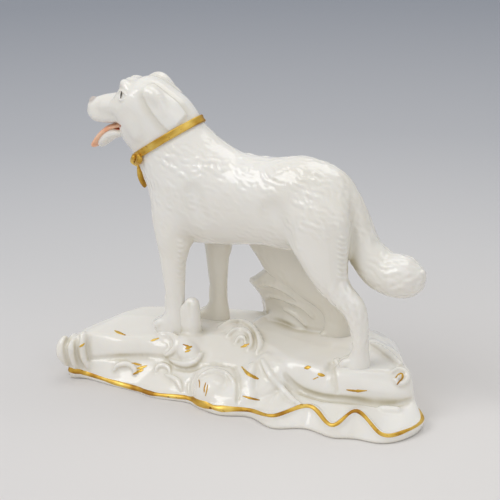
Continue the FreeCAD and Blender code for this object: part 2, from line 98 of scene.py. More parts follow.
def spline(rows, steps):
    """Rows with further rows between them, on a smooth curve through every row."""
    rows = np.asarray(rows, float)
    padded = np.vstack([rows[:1], rows, rows[-1:]])
    t = np.arange(steps)[:, None] / steps
    dense = []
    for p0, p1, p2, p3 in zip(padded, padded[1:], padded[2:], padded[3:]):
        cubic = t * (3 * p1 - p0 - 3 * p2 + p3)
        dense.append(p1 + 0.5 * t * (p2 - p0 + t * (2 * p0 - 5 * p1 + 4 * p2 - p3 + cubic)))
    dense.append(rows[-1:])
    return np.vstack(dense)


def beside(points, start, end):
    """Share of the way from start to end that each point lies beside, and its distance from that line."""
    run = end - start
    h = np.clip((points - start) @ run / (run @ run), 0, 1)
    return h, np.linalg.norm(points - start - h[:, None] * run, axis=1)


def unit(ways, least=1e-6):
    """The directions at a length of one."""
    return ways / np.maximum(np.linalg.norm(ways, axis=1, keepdims=True), least)


class Clay:
    """A block of signed distances on a grid, negative inside the clay."""

    def __init__(self, low, high, cell):
        self.low, self.cell = np.array(low, float), cell
        counts = np.ceil((np.array(high) - self.low) / cell).astype(int) + 1
        self.field = np.full(counts, FAR, np.float32)

    def window(self, low, high):
        """Index ranges and broadcast coordinates of the grid's part between two corners."""
        i0 = np.maximum(((np.asarray(low) - self.low) / self.cell).astype(int), 0)
        i1 = np.minimum(((np.asarray(high) - self.low) / self.cell).astype(int) + 2, self.field.shape)
        axes = [self.low[n] + self.cell * np.arange(i0[n], i1[n], dtype=np.float32) for n in range(3)]
        return tuple(slice(a, b) for a, b in zip(i0, i1)), np.ix_(*axes), i0

    def join(self, where, distance, k, carve):
        """Adds or carves a distance in a window."""
        old = self.field[where]
        self.field[where] = -smooth_min(-old, distance, k) if carve else smooth_min(old, distance, k)

    def stroke(self, rows, k, carve=False, steps=3, squash=(1, 1, 1)):
        """A round sausage along points with their radii: x, y, z, radius."""
        rows = spline(rows, steps) if len(rows) > 1 else np.array([rows[0], rows[0]], float)
        reach = rows[:, 3].max() / min(squash) + k + 1
        where, (x, y, z), _ = self.window(rows[:, :3].min(0) - reach, rows[:, :3].max(0) + reach)
        sx, sy, sz = squash
        best = None
        for a, b in zip(rows, rows[1:]):
            ax, ay, az = (x - a[0]) * sx, (y - a[1]) * sy, (z - a[2]) * sz
            bx, by, bz = (b[:3] - a[:3]) * squash
            span = bx * bx + by * by + bz * bz
            h = np.clip((ax * bx + ay * by + az * bz) / span, 0, 1) if span > 0 else 0.0
            d = np.sqrt((ax - h * bx) ** 2 + (ay - h * by) ** 2 + (az - h * bz) ** 2)
            d = d - (a[3] + (b[3] - a[3]) * h)
            best = d if best is None else smooth_min(best, d, 0.3)
        self.join(where, best.astype(np.float32), k, carve)

    def pair(self, rows, k, carve=False):
        """A stroke on both sides of the dog, with y measured outwards from its middle plane."""
        for side in (-1, 1):
            self.stroke([(x, MID + side * y, z, r) for x, y, z, r in rows], k, carve)

    def loft(self, rings, k, carve=False):
        """A closed form through rings of equal counts."""
        rings = np.asarray(rings, float)
        count = rings.shape[1]
        points = np.vstack([rings.reshape(-1, 3), rings[0].mean(0)[None], rings[-1].mean(0)[None]])
        first = np.arange(count)
        after = (first + 1) % count
        last = (len(rings) - 1) * count
        band = np.stack([first, after, after + count, first + count], 1)
        quads = np.vstack([band + n * count for n in range(len(rings) - 1)])
        hub = len(points)
        fans = np.vstack([np.stack([after, first, np.full(count, hub - 2)], 1),
                          np.stack([first + last, after + last, np.full(count, hub - 1)], 1)])
        sides = points[quads]
        if np.einsum("ij,ij->i", sides[:, 0], np.cross(sides[:, 1], sides[:, 2])).sum() < 0:
            quads, fans = quads[:, ::-1], fans[:, ::-1]
        width = max(k, BAND) / self.cell + 2
        grid = openvdb.FloatGrid.createLevelSetFromPolygons(
            (points - self.low).astype(np.float32), triangles=fans.astype(np.uint32), quads=quads.astype(np.uint32),
            transform=openvdb.createLinearTransform(self.cell), halfWidth=width)
        reach = width * self.cell
        where, (x, y, z), i0 = self.window(points.min(0) - reach, points.max(0) + reach)
        block = np.empty((x.size, y.size, z.size), np.float32)
        grid.copyToArray(block, ijk=tuple(int(i) for i in i0))
        self.join(where, block, k, carve)

    def soften(self, rounds=1):
        """Takes the edge off every crease."""
        for _ in range(rounds):
            for axis in range(3):
                f = np.moveaxis(self.field, axis, 0)
                f[1:-1] = 0.25 * f[:-2] + 0.5 * f[1:-1] + 0.25 * f[2:]

    def sample(self, points):
        """Values of the field between the grid's points."""
        g = (points - self.low) / self.cell
        i = np.clip(np.floor(g).astype(int), 0, np.array(self.field.shape) - 2)
        f = g - i
        total = 0
        for dx, dy, dz in np.ndindex(2, 2, 2):
            w = abs(1 - dx - f[:, 0]) * abs(1 - dy - f[:, 1]) * abs(1 - dz - f[:, 2])
            total = total + w * self.field[i[:, 0] + dx, i[:, 1] + dy, i[:, 2] + dz]
        return total

    def normals(self, points):
        """Outward unit directions at points near the surface."""
        rises = [self.sample(points + off) - self.sample(points - off) for off in np.eye(3) * self.cell]
        return unit(np.stack(rises, 1), 1e-9)

    def settled(self, points, rounds=1, limit=np.inf):
        """The points, moved onto the surface along its normals by no more than a limit in each round."""
        for _ in range(rounds):
            points = points - self.normals(points) * np.clip(self.sample(points), -limit, limit)[:, None]
        return points

    def cast(self, pixels):
        """Where sight lines through the photograph's pixels meet the clay, and how far from the eye that is."""
        pixels = np.asarray(pixels, float)
        focal = PX_PER_MM * DISTANCE
        across, down = (pixels.T - PHOTO / 2) / focal
        ways = unit(np.outer(across, RIGHT) - np.outer(down, UP) - BACK)
        stride, span = 0.5, 130
        runs = np.arange(DISTANCE - span, DISTANCE + span, stride)
        places = EYE + ways[:, None, :] * runs[None, :, None]
        top = self.low + self.cell * (np.array(self.field.shape) - 1)
        inside = ((places > self.low) & (places < top)).all(2)
        values = np.full(inside.shape, FAR)
        values[inside] = self.sample(places[inside])
        hit = (values < 0).any(1)
        step = np.where(hit, (values < 0).argmax(1), values.argmin(1))
        row = np.arange(len(pixels))
        before, after = values[row, step - 1], values[row, step]
        share = np.where(hit, np.clip(before / np.maximum(before - after, 1e-6), 0, 1), 1.0)
        reach = runs[step - 1] + share * stride
        return EYE + ways * reach[:, None], np.where(hit, reach, np.inf)

    def drawn(self, pixels, rise, radius, k, carve=False, both=False):
        """A stroke that follows pixels of the photograph over the clay, its middle line raised by some height."""
        points = self.cast(pixels)[0]
        points = points + self.normals(points) * rise
        rows = np.column_stack([points, np.broadcast_to(radius, len(points))])
        self.stroke(rows, k, carve)
        if both:
            self.stroke(rows * (1, -1, 1, 1) + (0, 2 * MID, 0, 0), k, carve)

    def flap(self, outline, side, away, thickness, k):
        """A thin sheet cut to an outline of x and z, which lies a little away from the clay on one side."""
        outline = np.asarray(outline, float)
        (x0, z0), (x1, z1) = outline.min(0) - 3, outline.max(0) + 3
        where, (x, y, z), _ = self.window((x0, self.low[1], z0), (x1, self.low[1] + self.field.shape[1], z1))
        flat = np.full((x.size, 1, z.size), np.inf)
        odd = np.zeros((x.size, 1, z.size), bool)
        for a, b in zip(outline, np.roll(outline, -1, 0)):
            run = b - a
            h = np.clip(((x - a[0]) * run[0] + (z - a[1]) * run[1]) / (run @ run), 0, 1)
            flat = np.minimum(flat, np.hypot(x - a[0] - h * run[0], z - a[1] - h * run[1]))
            crossed = (z >= min(a[1], b[1])) & (z < max(a[1], b[1]))
            if run[1]:
                odd ^= crossed & (x < a[0] + (z - a[1]) * run[0] / run[1])
        flat = np.where(odd, -flat, flat)
        slab = np.abs(self.field[where] - np.interp(z, *away)) - thickness / 2
        inner = 5                   # nothing nearer the middle plane than this
        flat = np.maximum(flat, inner - side * (y - MID))
        self.join(where, (-smooth_min(-flat, -slab, 0.8)).astype(np.float32), k, False)

    def surface(self):
        """Points and quads of the surface, wound outwards."""
        grid = openvdb.FloatGrid()
        grid.background = FAR
        grid.transform = openvdb.createLinearTransform(self.cell)
        grid.copyFromArray(self.field)
        points, quads = grid.convertToQuads(0.0)
        return points.astype(float) + self.low, quads.astype(np.int64)


def make_mesh(name, points, faces, node_slot, replaced, material, values=None):
    """One piece from points in millimetres and faces, smooth shaded, with values on its points."""
    mesh = bpy.data.meshes.new(name)
    mesh.from_pydata(points * MM, [], faces)
    mesh.shade_smooth()
    mesh.validate()
    for key, value in (values or {}).items():
        mesh.attributes.new(key, "FLOAT", "POINT").data.foreach_set("value", np.asarray(value, np.float32))
    piece = placed(name, mesh)
    mesh.materials.append(material)
    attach(piece, "root")
    if replaced:
        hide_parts(*replaced)


# Forms of the dog, in shares of its size: from the breast backwards and from the ground upwards
BREAST, SIZE = -50.0, 100.0


def along(share):
    """x at a share of the dog's length."""
    return BREAST + SIZE * share


def above(share):
    """z at a share of the dog's height."""
    return GROUND + SIZE * share


def egg_rings(rows, width, steps=5, sides=56):
    """Rings in the dog's middle plane: top x, top z, bottom x, bottom z, half width."""
    turns = 2 * np.pi * np.arange(sides) / sides
    rings = []
    for top_x, top_z, bottom_x, bottom_z, half in spline(rows, steps):
        top = np.array([along(top_x), MID, above(top_z)])
        bottom = np.array([along(bottom_x), MID, above(bottom_z)])
        ring = bottom + (top - bottom) * (0.5 + 0.5 * np.cos(turns))[:, None]
        ring[:, 1] += half * width * np.sin(turns)
        rings.append(ring)
    return rings


def oval_ring(centre, u, v, sides=40):
    """A ring round a middle with two half axes."""
    turns = 2 * np.pi * np.arange(sides)[:, None] / sides
    return np.asarray(centre) + np.cos(turns) * u + np.sin(turns) * v


# Widths that the half widths in the tables are shares of, then sections as egg_rings takes them
BODY_WIDTH, HEAD_WIDTH, JAW_WIDTH, TAIL_WIDTH, ROCK_WIDTH = 30, 25, 8.6, 15, 17
TORSO = [
    (0.87, 0.676, 0.882, 0.57, 0.1), (0.848, 0.71, 0.878, 0.48, 0.29), (0.794, 0.745, 0.8, 0.39, 0.41),
    (0.68, 0.762, 0.64, 0.375, 0.46), (0.55, 0.74, 0.51, 0.38, 0.45), (0.42, 0.742, 0.36, 0.358, 0.48),
    (0.335, 0.775, 0.2, 0.35, 0.51), (0.29, 0.803, 0.085, 0.385, 0.49), (0.262, 0.825, 0.035, 0.47, 0.45),
    (0.246, 0.842, 0.005, 0.56, 0.41),
]
COLLAR = (0.232, 0.858, -0.052, 0.672, 0.37)
HEAD = [
    (0.213, 0.887, -0.068, 0.7, 0.455), (0.172, 0.932, -0.09, 0.722, 0.465), (0.118, 0.966, -0.108, 0.748, 0.47),
    (0.055, 1, -0.112, 0.772, 0.465), (0, 1.012, -0.115, 0.792, 0.445), (-0.05, 0.998, -0.12, 0.806, 0.385),
    (-0.088, 0.99, -0.128, 0.811, 0.345), (-0.11, 0.968, -0.14, 0.811, 0.31), (-0.128, 0.935, -0.158, 0.806, 0.28),
    (-0.165, 0.925, -0.188, 0.802, 0.245), (-0.205, 0.915, -0.215, 0.801, 0.215), (-0.245, 0.9, -0.245, 0.81, 0.19),
    (-0.271, 0.886, -0.264, 0.836, 0.13), (-0.278, 0.876, -0.272, 0.86, 0.06),
]
# Forelegs: front and rear of the left, front and rear of the right, height, half width, distance from the middle plane
FORE = [
    (0.06, 0.26, 0.17, 0.37, 0.56, 0.5, 0.8), (0.06, 0.238, 0.18, 0.35, 0.46, 0.56, 0.92),
    (0.078, 0.218, 0.196, 0.328, 0.385, 0.52, 1), (0.094, 0.212, 0.208, 0.318, 0.31, 0.45, 1),
    (0.112, 0.206, 0.222, 0.308, 0.2, 0.39, 1), (0.128, 0.202, 0.236, 0.304, 0.095, 0.36, 1),
    (0.108, 0.208, 0.212, 0.31, 0.045, 0.42, 1), (0.072, 0.214, 0.18, 0.316, 0.015, 0.46, 1),
    (0.068, 0.214, 0.176, 0.316, -0.04, 0.46, 1),
]
LEFT_FORE, RIGHT_FORE = [row[:2] + row[4:] for row in FORE], [row[2:] for row in FORE]
# Hind legs: front, rear, height, half width, distance from the middle plane
LEFT_HIND = [
    (0.73, 0.84, 0.71, 0.22, 0.2), (0.685, 0.905, 0.63, 0.42, 0.62), (0.66, 0.932, 0.55, 0.52, 0.84),
    (0.672, 0.935, 0.46, 0.52, 0.9), (0.728, 0.932, 0.38, 0.46, 0.96), (0.78, 0.945, 0.31, 0.39, 1),
    (0.842, 1.005, 0.245, 0.32, 1), (0.92, 1.02, 0.19, 0.28, 1), (0.956, 1.028, 0.12, 0.26, 1),
    (0.964, 1.03, 0.05, 0.27, 1), (0.936, 1.036, 0.005, 0.32, 1), (0.915, 1.038, -0.03, 0.36, 1),
    (0.912, 1.034, -0.085, 0.36, 1),
]
RIGHT_HIND = [
    (0.68, 0.8, 0.71, 0.22, 0.2), (0.58, 0.85, 0.63, 0.42, 0.62), (0.47, 0.84, 0.54, 0.5, 0.84),
    (0.41, 0.815, 0.44, 0.5, 0.88), (0.4, 0.8, 0.35, 0.46, 0.9), (0.445, 0.8, 0.285, 0.41, 0.9),
    (0.485, 0.82, 0.23, 0.36, 0.9), (0.56, 0.85, 0.185, 0.3, 0.9), (0.632, 0.862, 0.145, 0.27, 0.96),
    (0.715, 0.86, 0.1, 0.26, 1.04), (0.736, 0.85, 0.055, 0.27, 1.1), (0.728, 0.852, 0.015, 0.34, 1.12),
    (0.716, 0.852, -0.018, 0.36, 1.12), (0.714, 0.85, -0.075, 0.36, 1.12),
]
# Middle line of the tail and its half thickness
TAIL = [
    (0.77, 0.672, 0.26), (0.842, 0.668, 0.32), (0.882, 0.622, 0.34), (0.913, 0.555, 0.37), (0.94, 0.478, 0.41),
    (0.97, 0.407, 0.48), (1.033, 0.349, 0.54), (1.11, 0.335, 0.57), (1.173, 0.344, 0.46), (1.212, 0.36, 0.1),
]
# Legs with their widths, their tracks and their sides
LEGS = [(LEFT_FORE, 10, 18, -1), (RIGHT_FORE, 10, 18, 1), (LEFT_HIND, 13, 22, -1), (RIGHT_HIND, 13, 22, 1)]

NECK_TOP = np.array([along(COLLAR[0]), MID, above(COLLAR[1])])
NECK_LOW = np.array([along(COLLAR[2]), MID, above(COLLAR[3])])
NECK_SPAN = NECK_TOP - NECK_LOW
NECK = np.array([-NECK_SPAN[2], 0, NECK_SPAN[0]]) / math.hypot(NECK_SPAN[0], NECK_SPAN[2])


def leg_rings(rows, width, track, side):
    """Level rings of a leg."""
    rings = []
    for front, rear, z, half, stand in spline(rows, 5):
        centre = (along((front + rear) / 2), MID + side * stand * track / 2, above(z))
        rings.append(oval_ring(centre, (SIZE / 2 * (rear - front), 0, 0), (0, half * width, 0)))
    return rings


def neck_ring(offset, growth=0.0, sides=56):
    """The neck's ring at a distance above the collar's plane."""
    half = NECK_SPAN / 2 + NECK_SPAN / np.linalg.norm(NECK_SPAN) * growth
    return oval_ring((NECK_TOP + NECK_LOW) / 2 + NECK * offset, half, (0, COLLAR[4] * BODY_WIDTH + growth, 0), sides)


def toes(clay, x, y, z):
    """The front of a paw: four rounded toes with grooves between them, around the middle of its front edge."""
    reach = 4.2
    for out in (-3, -1.1, 1.1, 3):
        back = 1.4 * (abs(out) > 2)     # the outer toes start further back
        clay.stroke([(x + reach + back, y + out * 0.8, z + 2.2, 1.5), (x + 2 + back, y + out, z + 1.6, 1.6),
                     (x + 0.8 + back, y + out * 1.05, z + 0.6, 1.4)], 0.5)
    for out in (-2.05, 0, 2.05):
        clay.stroke([(x + reach, y + out * 0.8, z + 4, 0.3), (x + 1.2, y + out, z + 3, 0.5),
                     (x - 0.2, y + out * 1.05, z + 1, 0.5)], 0.35, CUT)


def body_clay():
    """Torso, legs and tail in one block."""
    clay = Clay((-60, -17, 15), (77, 23, 112), 0.42)
    clay.loft(egg_rings(TORSO, BODY_WIDTH) + [neck_ring(-1.5), neck_ring(3)], 0.5)
    for leg in LEGS:
        clay.loft(leg_rings(*leg), 3)
    rows = spline(TAIL, 5)
    middles = np.stack([along(rows[:, 0]), np.full(len(rows), MID), above(rows[:, 1])], 1)
    rings = []
    for middle, run, half in zip(middles, np.gradient(middles, axis=0), rows[:, 2]):
        across = np.array([run[2], 0, -run[0]]) / math.hypot(run[0], run[2])
        rings.append(oval_ring(middle, across * half * TAIL_WIDTH, (0, half * TAIL_WIDTH, 0)))
    clay.loft(rings, 4)
    # Elbows, wrists and hocks, then the hollows of the flank and behind the shoulder, and the paws
    for line, k in (([(-30.5, -6.5, 58, 3.6), (-31.5, -7.5, 52, 2.2)], 2.5),
                    ([(-20, 10.5, 58, 3.6), (-20.5, 11.5, 52, 2.2)], 2.5),
                    ([(-36, -7, 34, 2.3), (-36.2, -7, 30.5, 2.2)], 1.4),
                    ([(-25, 11, 34, 2.3), (-25.2, 11, 30.5, 2.2)], 1.4),
                    ([(50.6, -9, 41, 1.5), (51.2, -9, 36, 1.3)], 1.2),
                    ([(33.4, 13.4, 38, 1.5), (35, 13.6, 33, 1.3)], 1.2)):
        clay.stroke(line, k)
    for side in (-1, 1):
        clay.stroke([(12, MID + side * 18.2, 78, 5.2), (17, MID + side * 18.6, 68, 4.8)], 4, CUT)
        clay.stroke([(-22, MID + side * 18.8, 82, 4.6), (-19, MID + side * 18.8, 72, 4.6)], 3, CUT)
    for paw in ((-43, -7, 22), (-32.2, 11, 22), (41.4, -9, 20), (21.6, 14.3, 20.4)):
        toes(clay, *paw)
    clay.soften()
    # Short tufts down the back edges of the thigh and the foreleg
    for down in range(0, 45, 5):
        for tuft, radii in (([(337, 236), (341.5, 238), (346.5, 237.5)], (0.3, 0.6, 0.4)),
                            ([(177.5, 240), (180.5, 241.5), (183.5, 241)], (0.3, 0.5, 0.35))):
            clay.drawn([(x, y + down) for x, y in tuft], -0.15, radii, 0.5)
    return clay


EAR = [
    (-46, 117.5), (-44.6, 121.6), (-41.6, 123.4), (-36, 123), (-32, 120.2), (-29.9, 115.6), (-30, 110.6),
    (-32.2, 106.8), (-35, 104.8), (-38.2, 107.6), (-41.6, 111.2), (-44.6, 114.6),
]

# Heights and how far the middle of the flap lies from the clay there
EAR_AWAY = [104, 107, 111, 116, 120, 124], [0, 0.2, 0.3, 0.2, 0, -0.2]


def head_clay():
    """Head, upper neck, jaw and ears in one block."""
    clay = Clay((-81, -15, 83), (-22, 19, 127), 0.24)
    clay.loft([neck_ring(-4), neck_ring(1.5)] + egg_rings(HEAD, HEAD_WIDTH), 0.5)
    # Skull: brows with a furrow between them, cheeks, then the muzzle with its flews
    clay.pair([(-60.2, 2.4, 118.6, 1.3), (-58.7, 4, 119.9, 1.8), (-56.6, 5.8, 119.2, 1.8),
               (-55, 7.2, 117.4, 1)], 1.6)
    clay.stroke([(-60.4, MID, 118.2, 1.6), (-58.6, MID, 119.6, 2), (-56, MID, 119.4, 2)], 1.4)
    clay.pair([(-67.5, 4, 109.5, 1.6), (-62.5, 5.4, 110, 2.4), (-57.5, 7, 109, 2.4)], 3)
    clay.pair([(-54, 7.6, 108, 2.4), (-51.5, 8.6, 105.5, 2.8), (-49.5, 9, 102, 2.4)], 3)
    clay.pair([(-76, 1.5, 106.2, 1.9), (-73, 2.8, 105.2, 2.4), (-68.6, 3.6, 105.2, 2.5), (-64, 4.8, 105.8, 2.2),
               (-60, 6.2, 106.2, 1.6)], 1.6)
    clay.stroke([(-75.9, MID, 110.5, 1.6), (-76.3, MID, 109.4, 1.5)], 0.7)
    clay.pair([(-77.9, 1.1, 110, 0.25), (-77.2, 1.8, 109.6, 0.4)], 0.3, CUT)
    clay.stroke([(-77.8, MID, 108.2, 0.2), (-77, MID, 105.4, 0.3)], 0.4, CUT)
    # The dropped jaw and the mouth
    clay.loft(egg_rings([(-0.07, 0.796, -0.06, 0.752, 0.5), (-0.1, 0.79, -0.085, 0.752, 0.54),
                         (-0.13, 0.788, -0.118, 0.748, 0.54), (-0.165, 0.787, -0.16, 0.732, 0.52),
                         (-0.205, 0.765, -0.198, 0.704, 0.46), (-0.232, 0.732, -0.222, 0.69, 0.34)], JAW_WIDTH), 1.2)
    clay.pair([(row[0], row[1], row[2], 0.6) for row in MOUTH], 0.5, CUT)
    clay.stroke([(-75, MID, 101.4, 0.7), (-68, MID, 102, 1), (-62.5, MID, 102.4, 0.8)], 0.5, CUT,
                squash=(1, 0.45, 1))
    # Ear flaps, hung from the sides of the crown, the right one further forward, each with a fold at the root
    for side, shift in ((-1, 0), (1, -8)):
        clay.flap([(x + shift, z) for x, z in EAR], side, EAR_AWAY, 1.1, 1.8)
    clay.stroke([(-53.6, 8.4, 119.2, 1.4), (-50.6, 9.2, 121.2, 2), (-47.4, 9.6, 121, 2),
                 (-43.6, 9.6, 117.8, 1.6), (-42, 9.6, 114.6, 1)], 1.6)
    clay.stroke([(-50.5, -4, 118, 1.3), (-46, -5.4, 118.8, 1.9), (-41.6, -6.2, 117.2, 1.8),
                 (-39, -6.6, 114, 0.9), (-38.4, -6.6, 111, 0.3)], 3)
    clay.soften(2)
    # Lids over and under the eye
    clay.drawn([(118.6, 92.5), (120.6, 90.6), (123.4, 91.6), (126, 94.6)], 0.05, (0.3, 0.5, 0.5, 0.3), 0.4,
               both=True)
    clay.drawn([(119, 99.2), (121.6, 100.6), (124.4, 98.8)], 0, (0.3, 0.45, 0.3), 0.4, both=True)
    clay.drawn([(121.4, 93.6), (121.2, 97)], 0.25, 0.55, 0.4, CUT, both=True)
    return clay


MOUTH = [
    (-75.2, 2, 102.6), (-72, 3.2, 102), (-68, 4.2, 102.2), (-64, 5.4, 102.6), (-60, 7, 103.2), (-57, 8.6, 104.2),
]


def tongue_clay():
    """The tongue, a flat strip with a shallow groove that lies on the jaw and hangs over its tip."""
    clay = Clay((-79, -5, 88), (-54, 9, 106), 0.2)
    line = [(-60.5, MID, 102.2, 1.1), (-64.5, MID, 101.3, 1.25), (-68.3, MID, 99.6, 1.35), (-71.7, MID, 96.7, 1.35),
            (-74.2, MID, 93.5, 1.3), (-75.2, MID, 92, 1.1)]
    clay.stroke(line, 0.5, steps=4, squash=(1, 0.33, 1))
    clay.stroke([(-65, MID, 102.8, 0.3), (-69.2, MID, 101, 0.4), (-73.2, MID, 97.4, 0.35),
                 (-75.4, MID, 94.6, 0.2)], 0.5, CUT)
    return clay


def gathered(points, x_share=0.7, y_share=0.29):
    """Way of each crest point towards the line on which the ground's rings draw together."""
    return np.column_stack([points[:, 0] * (x_share - 1), y_share * DEPTH - points[:, 1], np.zeros(len(points))])


# Foot and crest of the mound on its far side, in shares: x and y of the foot, then x, y and z of the crest
FAR_SIDE = [
    (0.39, 0.18, 0.355, 0.2, 0.88), (0.345, 0.37, 0.3, 0.34, 0.88), (0.235, 0.5, 0.215, 0.43, 0.88),
    (0.08, 0.455, 0.07, 0.395, 0.9), (-0.065, 0.435, -0.07, 0.365, 0.92), (-0.18, 0.385, -0.175, 0.305, 0.93),
    (-0.295, 0.275, -0.285, 0.195, 0.93), (-0.385, 0.17, -0.37, 0.1, 0.92), (-0.445, 0.06, -0.415, 0.025, 0.9),
    (-0.47, -0.08, -0.43, -0.085, 0.88),
]
# Round the mound, in shares: foot x and y, way in and up of the lip and of the roll's toe, crest x, y and z, fullness
OUTLINE = [
    (-0.462, -0.37, 0.02, 0.16, -0.45, 0.55, -0.438, -0.33, 0.85, 1.3),
    (-0.415, -0.345, 0.06, 0.09, 0.3, 0.48, -0.405, -0.285, 0.87, 1.7),
    (-0.33, -0.368, 0.04, 0.06, 0.46, 0.5, -0.325, -0.212, 0.88, 1.8),
    (-0.255, -0.382, 0.03, 0.05, 0.6, 0.5, -0.262, -0.15, 0.89, 1.8),
    (-0.193, -0.412, 0.03, 0.06, 0.63, 0.48, -0.195, -0.13, 0.9, 1.8),
    (-0.1, -0.396, 0.04, 0.08, 0.35, 0.46, -0.125, -0.1, 0.94, 1.1),
    (-0.05, -0.44, 0.03, 0.09, 0.12, 0.3, -0.09, -0.08, 0.96, 1),
    (0.013, -0.47, 0.03, 0.12, 0.12, 0.3, -0.02, -0.05, 0.96, 1),
    (0.083, -0.425, 0.03, 0.13, 0.15, 0.3, 0.05, -0.07, 0.94, 1.1),
    (0.167, -0.5, 0.08, 0.22, 0.79, 0.38, 0.15, -0.165, 0.91, 1.7),
    (0.24, -0.435, 0.28, 0.36, 0.73, 0.38, 0.235, -0.19, 0.9, 1.8),
    (0.32, -0.47, 0.06, 0.22, 0.76, 0.39, 0.295, -0.175, 0.91, 1.8),
    (0.375, -0.435, 0.19, 0.46, 0.74, 0.38, 0.34, -0.14, 0.92, 1.8),
    (0.445, -0.425, 0.05, 0.16, 0.7, 0.36, 0.388, -0.05, 0.91, 1.8),
    (0.488, -0.32, 0.03, 0.15, 0.64, 0.36, 0.412, 0, 0.89, 1.8),
    (0.497, -0.15, 0.02, 0.16, 0.52, 0.4, 0.415, 0.03, 0.87, 1.7),
    (0.44, 0, 0.05, 0.2, 0.45, 0.5, 0.395, 0.07, 0.87, 1.4),
    *[(x, y, 0.05, 0.2, 0.4, 0.5, x_top, y_top, z_top, 1.4) for x, y, x_top, y_top, z_top in FAR_SIDE],
    (-0.486, -0.25, 0.05, 0.18, -0.1, 0.55, -0.45, -0.23, 0.85, 1.3),
]
# Bosses and ridges of the ground: start x and y, end x and y, radius, height
RELIEF = [
    (-0.172, -0.15, -0.15, -0.16, 0.26, 0.07), (-0.064, -0.335, -0.055, -0.335, 0.42, 0.15),
    (0.026, -0.34, 0.051, -0.205, 0.28, 0.07), (0.062, -0.165, 0.212, -0.338, 0.15, 0.07),
    (0.253, -0.23, 0.25, -0.15, 0.13, -0.09), (-0.11, 0.06, -0.01, -0.02, 0.22, 0.05),
    (0.285, 0.19, 0.38, 0.075, 0.2, 0.06), (0.15, 0.2, 0.22, 0.17, 0.5, 0.06),
]
# Sections of the rock: front, rear, height, shift to the right, half width, slant
ROCK = [
    (0.392, 0.8, -0.06, 0.251, 0.36, 0.42), (0.378, 0.79, 0.06, 0.24, 0.36, 0.4),
    (0.35, 0.75, 0.138, 0.201, 0.34, 0.25), (0.4, 0.71, 0.182, 0.17, 0.34, 0.15), (0.5, 0.68, 0.262, 0.135, 0.3, 0.05),
]

